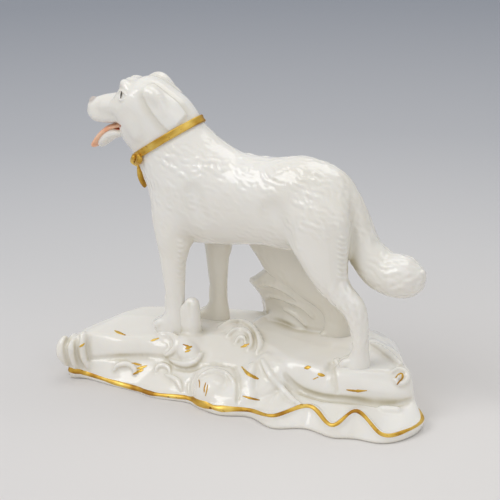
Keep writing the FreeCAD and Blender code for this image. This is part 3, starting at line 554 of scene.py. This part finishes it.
# Strokes along pixels of the photograph over the base: height of the middle line, radii, fillet, CUT for grooves
SCROLLS = [
    # Fluted left end
    ([(64, 338), (60.5, 346), (61, 355), (65, 363)], -0.5, (1.5, 2.1, 2.1, 1.4), 0.8),
    ([(73, 335.5), (71, 345), (71.5, 355), (75, 366)], -0.5, (1.5, 2.1, 2.1, 1.4), 0.8),
    ([(83, 334), (81.5, 345), (83, 356), (88, 366)], -0.5, (1.5, 2.1, 2.1, 1.4), 0.8),
    ([(68.5, 338), (66, 347), (67, 357), (70.5, 366)], 0.5, 0.9, 0.6, CUT),
    ([(78.5, 336), (76.5, 346), (78, 357), (82, 367)], 0.5, 0.9, 0.6, CUT),
    ([(90, 337), (88, 347), (89.5, 358)], 0.5, (0.7, 0.9, 0.9), 0.6, CUT),
    # Creases under the rolls and round the boss
    ([(90, 359), (107, 358), (127, 357), (148, 356.5), (164, 357)], 0.35, (0.8, 1.1, 1.1, 1, 0.7), 0.8, CUT),
    ([(176, 368), (190, 369.5), (206, 364.5), (222, 364.5), (234, 367)], 0.4, (0.7, 1.2, 1.3, 1.2, 0.7), 0.8, CUT),
    ([(234, 368), (238, 379), (238.5, 391), (237, 404)], 0.3, (0.9, 1.2, 1.1, 0.6), 0.8, CUT),
    ([(194, 374), (189, 383), (189, 393), (193, 401)], 0.4, (0.6, 0.9, 0.9, 0.5), 0.7, CUT),
    ([(285, 374), (293, 384), (302, 391), (315, 396), (327, 398.5), (341, 399.5), (357, 401.5), (376, 405),
      (394, 405), (410, 400)], 0.3, (0.8, 1.2, 1.4, 1.4, 1.4, 1.4, 1.4, 1.3, 1.1, 0.7), 0.8, CUT),
    ([(331, 364), (333, 373), (334, 383), (336, 392)], 0.4, (0.7, 1.2, 1.3, 0.9), 0.8, CUT),
    # Scrolled ends, lobe, curls, whorl and ridge
    ([(160, 333), (169, 334.5), (176, 339), (176.5, 346), (172, 352), (166, 355.5)],
     0.1, (0.8, 1.3, 1.5, 1.4, 1.2, 0.7), 0.6),
    ([(163, 341), (168, 343), (168.5, 348), (164, 350)], 0.5, (0.6, 0.8, 0.8, 0.5), 0.5, CUT),
    ([(182, 342), (187, 351), (194, 358)], -2.2, (3.6, 4.6, 3.6), 0.8),
    ([(171, 360), (178, 363), (187, 364), (196, 361.5), (202, 354)], 0.2, (0.7, 1.2, 1.4, 1.3, 0.8), 0.6),
    ([(211.4, 387)], -7.4, 8.6, 0.9),
    ([(197, 382), (203, 375), (214, 371), (226, 373.5), (233, 381)], 0, (0.6, 1, 1.2, 1, 0.6), 0.6),
    ([(114.3, 371), (117.5, 366), (124.3, 364), (131, 365.5), (135.7, 371), (134, 375)],
     0.3, (0.5, 1, 1.2, 1.1, 0.9, 0.5), 0.5),
    ([(155.7, 372), (158, 367.5), (163, 365.7), (168.6, 368), (170.4, 373)], 0.3, (0.5, 1, 1.2, 1, 0.6), 0.5),
    ([(166, 375), (173, 378), (179, 383), (181.5, 390)], 0.2, (0.6, 1.1, 1.2, 0.7), 0.5),
    ([(219, 328), (229, 323), (240, 322), (250, 326), (257, 335), (260.5, 346), (257, 353)],
     0, (0.8, 1.3, 1.5, 1.6, 1.6, 1.5, 0.9), 0.6),
    ([(228, 336), (234, 331), (243, 330), (250, 335.5), (251.5, 344), (248, 350)],
     0.1, (0.8, 1.1, 1.2, 1.2, 1.1, 0.7), 0.5),
    ([(236, 343), (240, 338), (246, 339), (246, 344)], 0.3, (0.7, 1, 1, 0.7), 0.5),
    ([(223, 332), (232, 327), (243, 326), (252, 331), (256, 341), (254, 350)], 0.45, 0.7, 0.5, CUT),
    ([(232, 340), (237, 334.5), (246, 334.5), (248.5, 341)], 0.45, 0.6, 0.5, CUT),
    ([(262, 360), (266, 367), (271.4, 376.4), (281.4, 388), (291.4, 399), (300, 405)],
     0.1, (0.7, 1.3, 1.4, 1.4, 1.3, 0.8), 0.7),
    ([(391, 373), (397, 369.5), (404, 371), (407.5, 376.5), (405, 382), (399, 384), (395.5, 380), (399, 377)],
     0.2, (0.5, 0.9, 1, 1, 1, 0.9, 0.8, 0.7), 0.4),
    ([(372, 344), (380, 348), (390, 356), (400, 365)], 0.2, (0.7, 1.3, 1.5, 1.2), 0.8),
    ([(337, 361)], -0.6, 1.7, 0.6),
    ([(346, 360)], -0.6, 1.5, 0.6),
    ([(383, 409), (396, 410)], -0.9, 2.2, 1),
    ([(252, 366), (249, 382), (252, 398)], -0.9, (1.8, 2.3, 1.6), 1.5),
]
STRATA = [
    # Strata of the rock, and the low mound before it
    ([(257, 287), (264, 284), (275, 286), (288, 293), (300, 303)], -0.1, (0.5, 0.9, 1, 0.9, 0.5), 0.8),
    ([(262, 298), (272, 296), (284, 299), (295, 306)], -0.1, (0.5, 0.9, 0.9, 0.5), 0.8),
    ([(290, 302), (298, 304), (306, 309), (313, 317)], 0.1, (0.6, 1.1, 1.1, 0.7), 0.6),
    ([(284, 309), (292, 312), (300, 318), (306, 325)], 0.1, (0.6, 1.1, 1.1, 0.7), 0.6),
    ([(256, 323), (266, 318), (278, 317), (290, 320), (302, 329)], -0.8, (1.2, 1.9, 2.1, 1.9, 1.2), 1.6),
]


def outline_rows():
    """Rows of the outline on its smooth closed curve."""
    return spline(OUTLINE[-2:] + OUTLINE + OUTLINE[:2], 12)[24:-25]


def spot(x_share, y_share, z):
    """Points in shares of the base's length and depth from its middle."""
    x_share, y_share, z = np.broadcast_arrays(x_share, y_share, z)
    return np.stack([x_share * LENGTH, y_share * DEPTH, z], -1)


def raised(points):
    """The points with the height that bosses, ridges and hollows add there."""
    points = points.copy()
    for x0, y0, x1, y1, radius, height in RELIEF:
        start, end = spot(x0, y0, 0.0)[:2], spot(x1, y1, 0.0)[:2]
        gap = beside(points[:, :2], start, end)[1] / (radius * GROUND)
        points[:, 2] += height * GROUND * np.maximum(1 - gap ** 2, 0) ** 2
    return points


def risen(heights):
    """Ways straight up, by shares of the ground's height."""
    return np.outer(heights * GROUND, (0, 0, 1))


def foot_and_crest(rows):
    """Points of the foot and points below the crest, both at the height of the table."""
    return spot(rows[:, 0], rows[:, 1], 0), spot(rows[:, 6], rows[:, 7], 0)


def lip_points(rows):
    """The edge of the lip, along which the gilt line runs."""
    foot, flat = foot_and_crest(rows)
    return foot + (flat - foot) * rows[:, 2:3] + risen(rows[:, 3])


def base_clay():
    """The scrolled base with its rock and knob."""
    clay = Clay((-80, -41, -2), (80, 41, 54), 0.56)
    rows = outline_rows()
    foot, flat = foot_and_crest(rows)
    crest = flat + risen(rows[:, 8])
    toe = foot + (flat - foot) * rows[:, 4:5] + risen(rows[:, 5])
    lips = lip_points(rows)
    rings = [foot, lips]
    swell = rows[:, 9:10]
    for share in np.linspace(0, 1, 9):
        place = toe + (crest - toe) * share ** swell
        place[:, 2:] = toe[:, 2:] + (crest - toe)[:, 2:] * (1 - (1 - share) ** swell)
        rings.append(raised(place))
    even = 0.41                 # share of the way in from which the ground is even
    for share in (0.05, 0.1, 0.17, 0.24, 0.32, even, 0.51, 0.62, 0.72, 0.82, 0.9):
        place = crest + gathered(crest) * share
        level = GROUND - np.clip((place[:, 0] + 50) / 100, 0, 1)     # 1 mm lower under the hind paws
        place[:, 2] = crest[:, 2] + (level - crest[:, 2]) * min(share / even, 1)
        rings.append(raised(place))
    clay.loft(rings, 0.5)
    clay.soften(2)
    # Bead of the lip
    bead = np.column_stack([lips + unit(flat - foot) * 0.9 - (0, 0, 0.4), np.full(len(lips), 1.15)])
    clay.stroke(np.vstack([bead, bead[:1]]), 1, steps=1)
    for stroke in SCROLLS:
        clay.drawn(*stroke)
    # Rock and knob
    rings, facets = [], 9
    for front, rear, z, shift, half, slant in spline(ROCK, 2):
        centre = (along((front + rear) / 2), MID + shift * DEPTH, above(z))
        run, out = ((front - rear) * SIZE / 2, slant * ROCK_WIDTH, 0), (0, half * ROCK_WIDTH, 0)
        rings.append(oval_ring(centre, run, out, facets))
    clay.loft(rings, 1)
    clay.stroke([(-25.8, -7, 20, 3.8), (-25.6, -7, 27, 3.2), (-26, -7, 32.6, 3.1)], 1.4)
    clay.stroke([(-28.6, -7.4, 22, 2.4), (-29, -7.6, 30.4, 2.2)], 1.6)
    clay.drawn([(190, 300), (189, 308), (190, 318)], 0.3, (0.4, 0.6, 0.4), 0.6, CUT)
    for stroke in STRATA:
        clay.drawn(*stroke)
    # Recess of the plate inside the foot
    feet = foot[::3]
    run = np.roll(feet, -1, 0) - np.roll(feet, 1, 0)
    margin, below, plate = 5, 4, 3.1    # width of the foot, start of the cut under it, thickness of the plate
    inner = feet + unit(np.column_stack([-run[:, 1], run[:, 0], run[:, 2]])) * margin
    clay.loft([inner - (0, 0, below), inner + (0, 0, plate)], 0.1, CUT)
    return clay


# Fur

def coat(points):
    """Lie of the coat at points of the dog's body, and how strongly its locks stand out there."""
    x, y, z = points.T
    out = np.abs(y - MID)
    way = np.stack([np.ones_like(x), np.zeros_like(x), -0.35 - 0.25 * np.clip(out / 12, 0, 1)], 1)
    chest = np.clip((-38 - x) / 10, 0, 1)[:, None]
    way = way * (1 - chest) + np.array([0.35, 0, -1.0]) * chest
    limb = np.clip((60 - z) / 8, 0, 1)[:, None]
    way = way * (1 - limb) + np.array([0.25, 0, -1.0]) * limb
    rows = spline(TAIL, 4)
    line = np.stack([along(rows[:, 0]), above(rows[:, 1])], 1)
    gaps = np.hypot(x[:, None] - line[:, 0], z[:, None] - line[:, 1])
    near = gaps.argmin(1)
    run = np.gradient(line, axis=0)[near]
    plume = (np.clip((x - 33) / 4, 0, 1) * (out < 8.6) * (gaps.min(1) < 9) * (z > 45))[:, None]
    way = unit(way * (1 - plume) + np.stack([run[:, 0], np.zeros_like(x), run[:, 1]], 1) * plume)
    # Shoulder, back and thigh stand out more
    force = 0.35
    for part, x0, x_reach, z0, z_reach in ((0.45, -30, 16, 90, 14), (0.35, 5, 18, 96, 8), (0.4, 30, 13, 82, 14)):
        force = force + part * np.exp(-((x - x0) / x_reach) ** 2 - ((z - z0) / z_reach) ** 2)
    low = 0.3 + 0.5 * np.clip((x - 22) / 14, 0, 1)
    force = low + (force - low) * np.clip((z - 50) / 14, 0, 1)
    force *= np.clip((z - 29) / 4, 0, 1)
    return way, np.maximum(force, plume[:, 0] * 0.6)


def groom(clay, points, flow, count, length, width, height):
    """Points moved out and in by locks of wavy fur that follow the lie of the coat."""
    normals = clay.normals(points)
    way, force = flow(points)
    rise = np.zeros(len(points))
    seeds = RNG.choice(len(points), count, p=force / force.sum())
    steps = 9
    reach = length * RNG.uniform(0.6, 1.25, (count, 1))
    bend, curl = RNG.normal(0, 0.25, count), RNG.choice((-1, 1), count) * RNG.uniform(0.4, 0.8, count)
    at = points[seeds]
    paths = [at]
    for n in range(steps):
        normal, ahead = clay.normals(at), flow(at)[0]
        ahead = unit(ahead - normal * (ahead * normal).sum(1, keepdims=True))
        turned = (bend + curl * math.sin(2 * math.pi * (n + 0.5) / steps))[:, None]
        at = clay.settled(at + unit(ahead + np.cross(normal, ahead) * turned) * reach / steps)
        paths.append(at)
    for seed, path in zip(seeds, np.stack(paths, 1)):
        low, high = path.min(0) - 2.6 * width, path.max(0) + 2.6 * width
        near = np.nonzero(((points > low) & (points < high)).all(1))[0]
        best, share = np.full(len(near), np.inf), np.zeros(len(near))
        for n, (a, b) in enumerate(zip(path, path[1:])):
            h, gap = beside(points[near], a, b)
            closer = gap < best
            best, share = np.where(closer, gap, best), np.where(closer, (n + h) / steps, share)
        taper = np.sin(np.pi * np.clip(share, 0.02, 0.98)) ** 0.7 * force[seed]
        ridge = np.exp(-(best / width) ** 2) - 0.55 * np.exp(-((best - 1.7 * width) / (0.7 * width)) ** 2)
        rise[near] += height * taper * ridge
    return points + normals * np.clip(rise, -0.4, 0.42)[:, None], rise


# Gilding

def nearest(pixels, clays):
    """Where sight lines through the photograph's pixels first meet one of the clays, and which one that is."""
    hits = [clay.cast(pixels) for clay in clays]
    first = np.array([reach for points, reach in hits]).argmin(0)
    return np.array([points for points, reach in hits])[first, np.arange(len(first))], first


def tube(index):
    """Quads between rings of point numbers."""
    after = np.roll(index, -1, 1)
    return np.stack([index[:-1], index[1:], after[1:], after[:-1]], -1).reshape(-1, 4)


def merged(parts):
    """One set of points and quads from several."""
    starts = np.cumsum([0] + [len(points) for points, quads in parts])
    return (np.vstack([points for points, quads in parts]),
            np.vstack([quads + start for (points, quads), start in zip(parts, starts)]))


def ribbon(clay, path, widths, height=0.14):
    """A closed strip of gold brushed over the clay: rings of eight points along a path, and quads between them."""
    shape = [(-1.0, -0.6), (-0.8, 0.45), (-0.4, 0.9), (0.0, 1.0), (0.4, 0.9), (0.8, 0.45), (1.0, -0.6), (0.0, -1.2)]
    normals = clay.normals(path)
    path = path - normals * clay.sample(path)[:, None]
    across = unit(np.cross(normals, np.gradient(path, axis=0)))
    rings = []
    for out, lift in shape:
        spots = clay.settled(path + across * (widths * out)[:, None], 2)
        rings.append(spots + clay.normals(spots) * height * lift)
    points = np.stack(rings, 1)
    index = np.arange(points.size // 3).reshape(points.shape[:2])
    caps = [index[0][[0, 1, 2, 3]], index[0][[0, 3, 4, 7]], index[0][[4, 5, 6, 7]],
            index[-1][[3, 2, 1, 0]], index[-1][[7, 4, 3, 0]], index[-1][[7, 6, 5, 4]]]
    return points.reshape(-1, 3), np.vstack([tube(index), caps])


def wander(count, scale, amount):
    """A smooth seeded wobble along a brush stroke."""
    knots = RNG.normal(0, amount, int(count / scale) + 4)
    return np.interp(np.arange(count) / scale, np.arange(len(knots)), knots)


# Brush strokes of the gilt sprigs: pixels with half widths in millimetres
SPRIGS = [
    [(79.5, 347, 0.2), (82, 345.4, 0.45), (84.5, 343.6, 0.2)],
    [(114.6, 330.4, 0.25), (119, 332.6, 0.6), (125.6, 335.2, 0.25)],
    [(150.6, 341, 0.2), (154.6, 339.6, 0.5), (159.2, 338, 0.2)],
    [(183, 344.4, 0.2), (187.5, 346, 0.4), (189, 347, 0.2)],
    [(185.5, 349, 0.25), (188.5, 347.6, 0.55), (192, 346.4, 0.25)],
    [(185, 352, 0.2), (187.6, 351, 0.4), (190.4, 350, 0.2)],
    [(131.6, 363, 0.25), (136, 364, 0.45), (141.6, 365.2, 0.2)],
    [(136.8, 368.6, 0.3), (141.6, 367.6, 0.6), (147.4, 365.6, 0.2)],
    [(136.6, 371.4, 0.25), (140, 371, 0.5), (143.6, 369.6, 0.25)],
    [(133, 374.2, 0.2), (136.6, 372.8, 0.4), (140.2, 371.4, 0.2)],
    [(240.6, 347.2, 0.25), (244.6, 346, 0.6), (249.2, 344, 0.3)],
    [(198.8, 379.6, 0.15), (199.6, 383, 0.35), (199.4, 387.6, 0.15)],
    [(205.8, 382.6, 0.15), (204.4, 387.6, 0.35), (204.2, 392.6, 0.15)],
    [(207.6, 384.6, 0.15), (206.8, 390, 0.25), (205.4, 396, 0.15)],
    [(241.6, 366.6, 0.3), (247, 372.8, 0.55), (252.4, 376.2, 0.65), (258.6, 379, 0.35)],
    [(242.6, 396, 0.15), (250.6, 398.2, 0.5), (259.8, 400.2, 0.2)],
    [(304.4, 368, 0.25), (307.6, 367.4, 0.75), (310.8, 367.2, 0.3)],
    [(317.8, 373.8, 0.5), (320.6, 374.8, 0.75), (324.8, 375.6, 0.2)],
    [(313, 379.4, 0.1), (315.6, 378.2, 0.25), (318.4, 377, 0.15)],
    [(346.4, 389.8, 0.15), (352, 390.6, 0.4), (358, 391, 0.6), (366.8, 390.6, 0.2)],
    [(395.6, 378, 0.2), (398.4, 374.4, 0.35), (402, 373.6, 0.4), (402.4, 378, 0.45), (398.6, 382.4, 0.3),
     (397, 384.6, 0.15)],
]
BRUSH = 1.25                # how much wider than its half width a stroke spreads
# The same kind of strokes on the far side, from points on the base in millimetres: x, y, z and half width
FAR_SPRIGS = [
    [(-38, 34, 16, 0.2), (-35, 34, 17, 0.6), (-32, 34, 16.6, 0.25)],
    [(-36, 34, 13.6, 0.2), (-33.5, 34, 14.4, 0.5), (-31, 34, 15.2, 0.2)],
    [(2, 44, 12, 0.2), (5, 44, 13, 0.6), (8.4, 44, 13.4, 0.25)],
    [(3.4, 44, 9.6, 0.2), (6.2, 44, 10.6, 0.5), (9, 44, 11.6, 0.2)],
    [(36, 44, 14, 0.2), (39.6, 44, 13.2, 0.6), (43, 44, 12.8, 0.25)],
    [(72, 20, 12, 0.2), (72, 22.6, 13.6, 0.55), (72, 25.4, 14, 0.25)],
    [(-68, 12, 11, 0.2), (-67, 15, 12.6, 0.55), (-66, 18, 13, 0.25)],
]


def brushed(strokes, clays, rest):
    """One mesh of brush strokes, each cast on the clay that the sight line meets, and strokes on the far side."""
    parts = []
    for stroke in strokes:
        rows = spline(stroke, 5)
        path, first = nearest(rows[:, :2], clays)
        widths = rows[:, 2] * BRUSH * (1 + wander(len(rows), 2.0, 0.12))
        parts.append(ribbon(clays[int(np.median(first))], path, widths))
    for stroke in rest:
        rows = spline(stroke, 5)
        path = rows[:, :3].copy()
        # Inwards in half millimetres until the base is near
        for _ in range(60):
            outside = clays[0].sample(path) > 1.5
            path -= outside[:, None] * path * (1, 1, 0) / np.linalg.norm(path[:, :2], axis=1)[:, None] * 0.5
        parts.append(ribbon(clays[0], clays[0].settled(path, 12, 1), rows[:, 3]))
    return merged(parts)


def rim_line(clay):
    """The gilt line that runs round the edge of the lip."""
    rows = outline_rows()
    foot, flat = foot_and_crest(rows)
    path = lip_points(rows) + unit(foot - flat) * 0.3 + (0, 0, 0.55)
    path = clay.settled(np.vstack([path, path[:2]]), 6, 1)
    thick = 1.12 + 0.28 * np.exp(-((path[:, 0] + 2) / 16) ** 2)
    widths = thick * (1 + np.clip(wander(len(path), 5.0, 0.22), -0.35, 0.4))
    widths[-2:] = widths[:2]
    return ribbon(clay, path, widths)


def collar_band():
    """The collar: a slightly hollow band with rolled edges, swept round the neck."""
    profile = [(-1.5, 0.12), (-1.5, 0.85), (-1.2, 1.1), (-0.8, 1), (0, 0.88), (0.8, 1), (1.2, 1.1), (1.5, 0.85),
               (1.5, 0.12)]
    points = np.stack([neck_ring(offset, growth, 120) for offset, growth in profile], 1)
    index = np.arange(points.size // 3).reshape(points.shape[:2])
    return points.reshape(-1, 3), tube(np.vstack([index, index[:1]]))


def knot_clay(neck):
    """The small knot at the front of the collar: two folds round a hollow."""
    clay = Clay((-64, -12, 84), (-44, 7, 101), 0.18)
    spots = neck.cast([(137, 155.6), (136.8, 159), (139.4, 162.6), (142, 158.6), (141.6, 154.8),
                       (139.6, 157.4)])[0]
    proud = spots + neck.normals(spots) * [[1.5], [1.6], [1.2], [1.5], [1.4], [3]]
    clay.stroke(np.column_stack([proud[:3], (1, 1.2, 0.9)]), 0.3)
    clay.stroke(np.column_stack([proud[2:5], (0.9, 1.3, 1)]), 0.3)
    clay.stroke([(*proud[5], 0.9)], 0.3, CUT)
    return clay


def drop_clay():
    """The leaf-shaped drop below the knot, with a rib."""
    clay = Clay((-60, -4, 72), (-46, 8, 92), 0.2)
    low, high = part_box("collar_drop")
    (x0, y0, z0), (x1, y1, z1) = np.array(low) / MM, np.array(high) / MM
    y = (y0 + y1) / 2
    top, tip = np.array([x0 + 2.2, y - 0.4, z1 - 0.1]), np.array([x1 - 0.3, y - 0.4, z0 + 1.7])
    rows = [(*(top + (tip - top) * share), radius) for share, radius in
            ((0.0, 0.7), (0.2, 1.1), (0.45, 1.4), (0.7, 1.2), (0.9, 0.75), (1.0, 0.35))]
    clay.stroke(rows, 0.3, steps=4, squash=(1, 0.55, 1))
    clay.stroke([(a - 0.55, b, c, 0.28) for a, b, c, r in rows[1:5]], 0.3)
    return clay


# Materials

class Look:
    """A material with its node tree."""

    def __init__(self, name):
        self.material = bpy.data.materials.new(name)
        self.material.use_nodes = True
        self.shader = self.material.node_tree.nodes["Principled BSDF"]

    def add(self, kind, inputs, **settings):
        """A new node with its inputs and settings."""
        node = self.material.node_tree.nodes.new("ShaderNode" + kind)
        for key, value in settings.items():
            setattr(node, key, value)
        self.feed(node, inputs)
        return node

    def feed(self, node, inputs):
        """Gives inputs of a node a plain value or colour, or another node's output."""
        for key, value in inputs.items():
            if isinstance(value, bpy.types.NodeSocket):
                self.material.node_tree.links.new(value, node.inputs[key])
            else:
                coloured = node.inputs[key].type == "RGBA"
                node.inputs[key].default_value = (*value, 1) if coloured else value

    def noise(self, scale, detail=3.0):
        """Noise in the object's own coordinates, with a scale per metre."""
        where = self.add("TexCoord", {}).outputs["Object"]
        return self.add("TexNoise", {"Scale": scale, "Detail": detail, "Vector": where}).outputs["Fac"]

    def ramp(self, value, *stops):
        """Colours along a value, or shades of grey where a stop has a plain number."""
        node = self.add("ValToRGB", {"Fac": value})
        elements = node.color_ramp.elements
        elements[0].position, elements[1].position = stops[0][0], stops[-1][0]
        for place, colour in stops[1:-1]:
            elements.new(place)
        for element, (place, colour) in zip(elements, stops):
            element.color = (*colour, 1) if isinstance(colour, tuple) else (colour, colour, colour, 1)
        return node.outputs["Color"]

    def mixed(self, factor, first, second):
        """One colour laid over another, where either may be a plain colour."""
        return self.add("Mix", {"Factor": factor, 6: first, 7: second}, data_type="RGBA").outputs[2]

    def done(self, inputs, height=None, strength=0, distance=0):
        """The material, once its shader has these inputs and a bump."""
        self.feed(self.shader, inputs)
        if height:
            bump = self.add("Bump", {"Strength": strength, "Distance": distance, "Height": height})
            self.feed(self.shader, {"Normal": bump.outputs["Normal"]})
        return self.material


def glaze():
    """Creamy white glaze over a faintly uneven body, with painted shade, darker and warmer, in the creases, on the far
    legs, the belly and the rock, and painted nose and mouth.
    """
    look = Look("white_glaze")
    colour = look.ramp(look.noise(38), (0.35, (0.855, 0.82, 0.755)), (0.65, (0.88, 0.855, 0.805)))
    # The first tint is painted shade, dark and warm, for creases, the far legs, the belly and the rock; the nose and
    # mouth tints are painted colour
    for name, tint in (("painted_shade", (0.62, 0.565, 0.42)), ("nose", (0.42, 0.33, 0.29)), ("mouth", (0.46, 0.075, 0.02))):
        colour = look.mixed(look.add("Attribute", {}, attribute_name=name).outputs["Fac"], colour, tint)
    return look.done({
        "Base Color": colour, "Roughness": look.ramp(look.noise(160), (0.3, 0.09), (0.7, 0.17)), "IOR": 1.5,
        "Coat Weight": 0.25, "Coat Roughness": 0.04, "Subsurface Weight": 0.12,
        "Subsurface Radius": (0.0022, 0.0018, 0.0012), "Subsurface Scale": 1}, look.noise(420), 0.25, 0.00012)


def gilt():
    """Fired gold brushed on by hand: bright where thick, brown where thin or rubbed."""
    look = Look("gilding")
    worn, patch = look.noise(620, 5), look.noise(110, 2)
    thick = look.ramp(patch, (0.34, (0.42, 0.2, 0.022)), (0.46, (0.66, 0.39, 0.055)), (0.66, (0.88, 0.62, 0.15)))
    colour = look.mixed(look.ramp(worn, (0.25, 0), (0.38, 1)), (0.26, 0.09, 0.012), thick)
    rough = look.ramp(patch, (0.3, 0.52), (0.7, 0.38))
    return look.done({"Base Color": colour, "Metallic": 0.74, "Roughness": rough}, worn, 0.5, 0.00018)


def salmon():
    """Salmon enamel, paler in places."""
    look = Look("salmon_enamel")
    colour = look.ramp(look.noise(260), (0.35, (0.92, 0.44, 0.25)), (0.65, (0.95, 0.6, 0.4)))
    rough = look.ramp(look.noise(500), (0.3, 0.14), (0.7, 0.24))
    return look.done({"Base Color": colour, "Roughness": rough}, look.noise(900), 0.25, 0.0001)


def ink():
    """Dark brown enamel of the painted eyes."""
    look = Look("dark_enamel")
    colour = look.ramp(look.noise(900), (0.35, (0.012, 0.009, 0.008)), (0.7, (0.05, 0.032, 0.022)))
    return look.done({"Base Color": colour, "Roughness": 0.15})


def bisque():
    """Bare fired clay of the underside, with fine grit."""
    look = Look("bare_clay")
    grit = look.noise(900, 6)
    colour = look.ramp(grit, (0.35, (0.56, 0.51, 0.43)), (0.65, (0.7, 0.66, 0.58)))
    return look.done({"Base Color": colour, "Roughness": 0.85}, grit, 0.6, 0.0003)


# Painted pool of light on the floor: colours by distance from the brightest spot near the figure
FLOOR_LIGHT_POOL = [(0.04, (0.765, 0.74, 0.72)), (0.1, (0.73, 0.705, 0.69)), (0.225, (0.65, 0.64, 0.64)),
         (0.42, (0.51, 0.515, 0.54)), (0.78, (0.385, 0.405, 0.455))]


def floor():
    """The pale studio floor, with a painted pool of light: brightest near the figure, falling off to a cool grey
    behind it.
    """
    look = Look("floor")
    brightest, falloff, half = (0.09, -0.055, 0), 1.2, 4
    where = look.add("NewGeometry", {}).outputs["Position"]
    apart = look.add("VectorMath", {0: where, 1: brightest}, operation="DISTANCE").outputs["Value"]
    scaled = look.add("Math", {0: apart, 1: falloff}, operation="DIVIDE").outputs["Value"]
    mesh = bpy.data.meshes.new("floor")
    mesh.from_pydata([(-half, -half, 0), (half, -half, 0), (half, half, 0), (-half, half, 0)], [], [(0, 1, 2, 3)])
    colour = look.ramp(scaled, *FLOOR_LIGHT_POOL)
    mesh.materials.append(look.done({"Base Color": colour, "Roughness": 0.7, "Specular IOR Level": 0.15}))
    plane = placed("floor", mesh)


def lamp(name, place, aim, size, power):
    """A soft square lamp, with its place and aim in millimetres."""
    data = bpy.data.lights.new(name, "AREA")
    data.size, data.energy = size, power
    placed(name, data, Vector(place) * MM, Vector(aim) - Vector(place))


def lights():
    """Even cool light from all round, and three lamps."""
    world = bpy.data.worlds.new("world")
    world.use_nodes = True
    background = world.node_tree.nodes["Background"]
    background.inputs["Color"].default_value = (0.97, 0.985, 1, 1)
    background.inputs["Strength"].default_value = 0.58
    bpy.context.scene.world = world
    lamp("key", (-420, -520, 760), (0, 0, 60), 0.5, 2.7)
    lamp("fill", (620, -560, 420), (0, 0, 50), 0.6, 0.9)
    lamp("top", (60, 260, 900), (0, 0, 60), 0.6, 1.7)


def near_line(points, line, width):
    """How close points lie to a line through places, from 1 on it to 0 at a distance."""
    line = np.asarray(line, float)
    best = np.min([beside(points, a, b)[1] for a, b in zip(line, line[1:])], axis=0)
    return np.clip(1.6 - best / width, 0, 1)


def hollows(clay, points, reach=1.6):
    """How deep in a crease the points lie, from 0 in the open to 1, from the clay near them and further out."""
    normals, further, strength = clay.normals(points), 2.2, 0.9
    near = clay.sample(points + normals * reach)
    wide = clay.sample(points + normals * reach * further)
    return np.clip(np.maximum(1 - near / reach, 1 - wide / (reach * further)) * strength, 0, 1)


bpy.context.scene.view_settings.view_transform = "Standard"
make_camera()
lights()
floor()
white, gold, coral, dark = glaze(), gilt(), salmon(), ink()
FAR_SHADE = 0.36            # how strongly painted shade darkens and warms the far legs, the belly and the rock

body = body_clay()
points, quads = body.surface()
x, y, z = points.T
# Painted shade: darker and warmer in creases, on the far legs and under the belly
under = np.clip((y - 3) / 3, 0, 1) * np.clip((68 - z) / 12, 0, 1) * (x < 46)
shade = np.maximum(hollows(body, points), FAR_SHADE * under)
points, locks = groom(body, points, coat, count=900, length=8.0, width=0.78, height=0.21)
# Painted shade in the grooves between the locks of fur
shade = np.clip(shade + np.clip(-locks * 0.5, 0, 0.2), 0, 1)
make_mesh("dog_body", points, quads, "white_glaze",
          ("torso_left_shell", "torso_right_shell", "left_fore_leg", "right_fore_leg", "left_hind_leg",
           "right_hind_leg", "tail"), white, {"painted_shade": shade})

head = head_clay()
points, quads = head.surface()
x, y, z = points.T
nose = head.cast([(91.0, 99.5)])[0][0]
ends = [nose + (0.6, 0, 0.2), nose * (1, -1, 1) + (0.6, 2 * MID, 0.2)]
lips = [near_line(points, [(front, MID + side * out, up) for front, out, up in MOUTH], 0.75) for side in (-1, 1)]
inside = (np.abs(y - MID) < 3.4) & (x > -66) & (x < -58) & (z > 100.2) & (z < 103.0)
# Painted shade in the creases of the head; the nose and the mouth are painted colour
make_mesh("dog_head", points, quads, "white_glaze", ("head", "lower_jaw", "left_ear", "right_ear"), white,
          {"painted_shade": hollows(head, points, 1.1), "nose": 0.65 * near_line(points, ends, 1.7),
           "mouth": np.clip(lips[0] + lips[1] + inside, 0, 1)})

base = base_clay()
points, quads = base.surface()
points[:, 2] = np.maximum(points[:, 2], 0)
x, y, z = points.T
# Painted shade in the creases of the base and on the rock under the dog
shade = np.maximum(hollows(base, points), FAR_SHADE * np.clip((z - GROUND) / 4, 0, 1) * (y > -2) * (x > -16))
make_mesh("scrolled_base", points, quads, "white_glaze", ("base_shell", "rock_support", "rock_knob"), white,
          {"painted_shade": shade})

make_mesh("painted_tongue", *tongue_clay().surface(), "salmon_enamel", ("tongue",), coral)
make_mesh("gilt_collar", *collar_band(), "gilding", ("collar",), gold)
make_mesh("gilt_knot", *knot_clay(head).surface(), "gilding", ("collar_knot",), gold)
make_mesh("gilt_drop", *drop_clay().surface(), "gilding", ("collar_drop",), gold)
make_mesh("gilt_rim_line", *rim_line(base), "gilding", (), gold)
make_mesh("gilt_sprigs", *brushed(SPRIGS, [base, body], FAR_SPRIGS), "gilding", (), gold)
eye = spline([(121.6, 91.2, 0.15), (121.2, 94.6, 0.42), (120.6, 98.4, 0.15)], 5)
near_eye, quads = ribbon(head, head.cast(eye[:, :2])[0], eye[:, 2], 0.16)
far_eye = near_eye * (1, -1, 1) + (0, 2 * MID, 0)
make_mesh("painted_eyes", *merged([(near_eye, quads), (far_eye, quads[:, ::-1])]), "salmon_enamel", (), dark)

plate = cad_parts["base_plate"]
plate.data.materials.clear()
plate.data.materials.append(bisque())
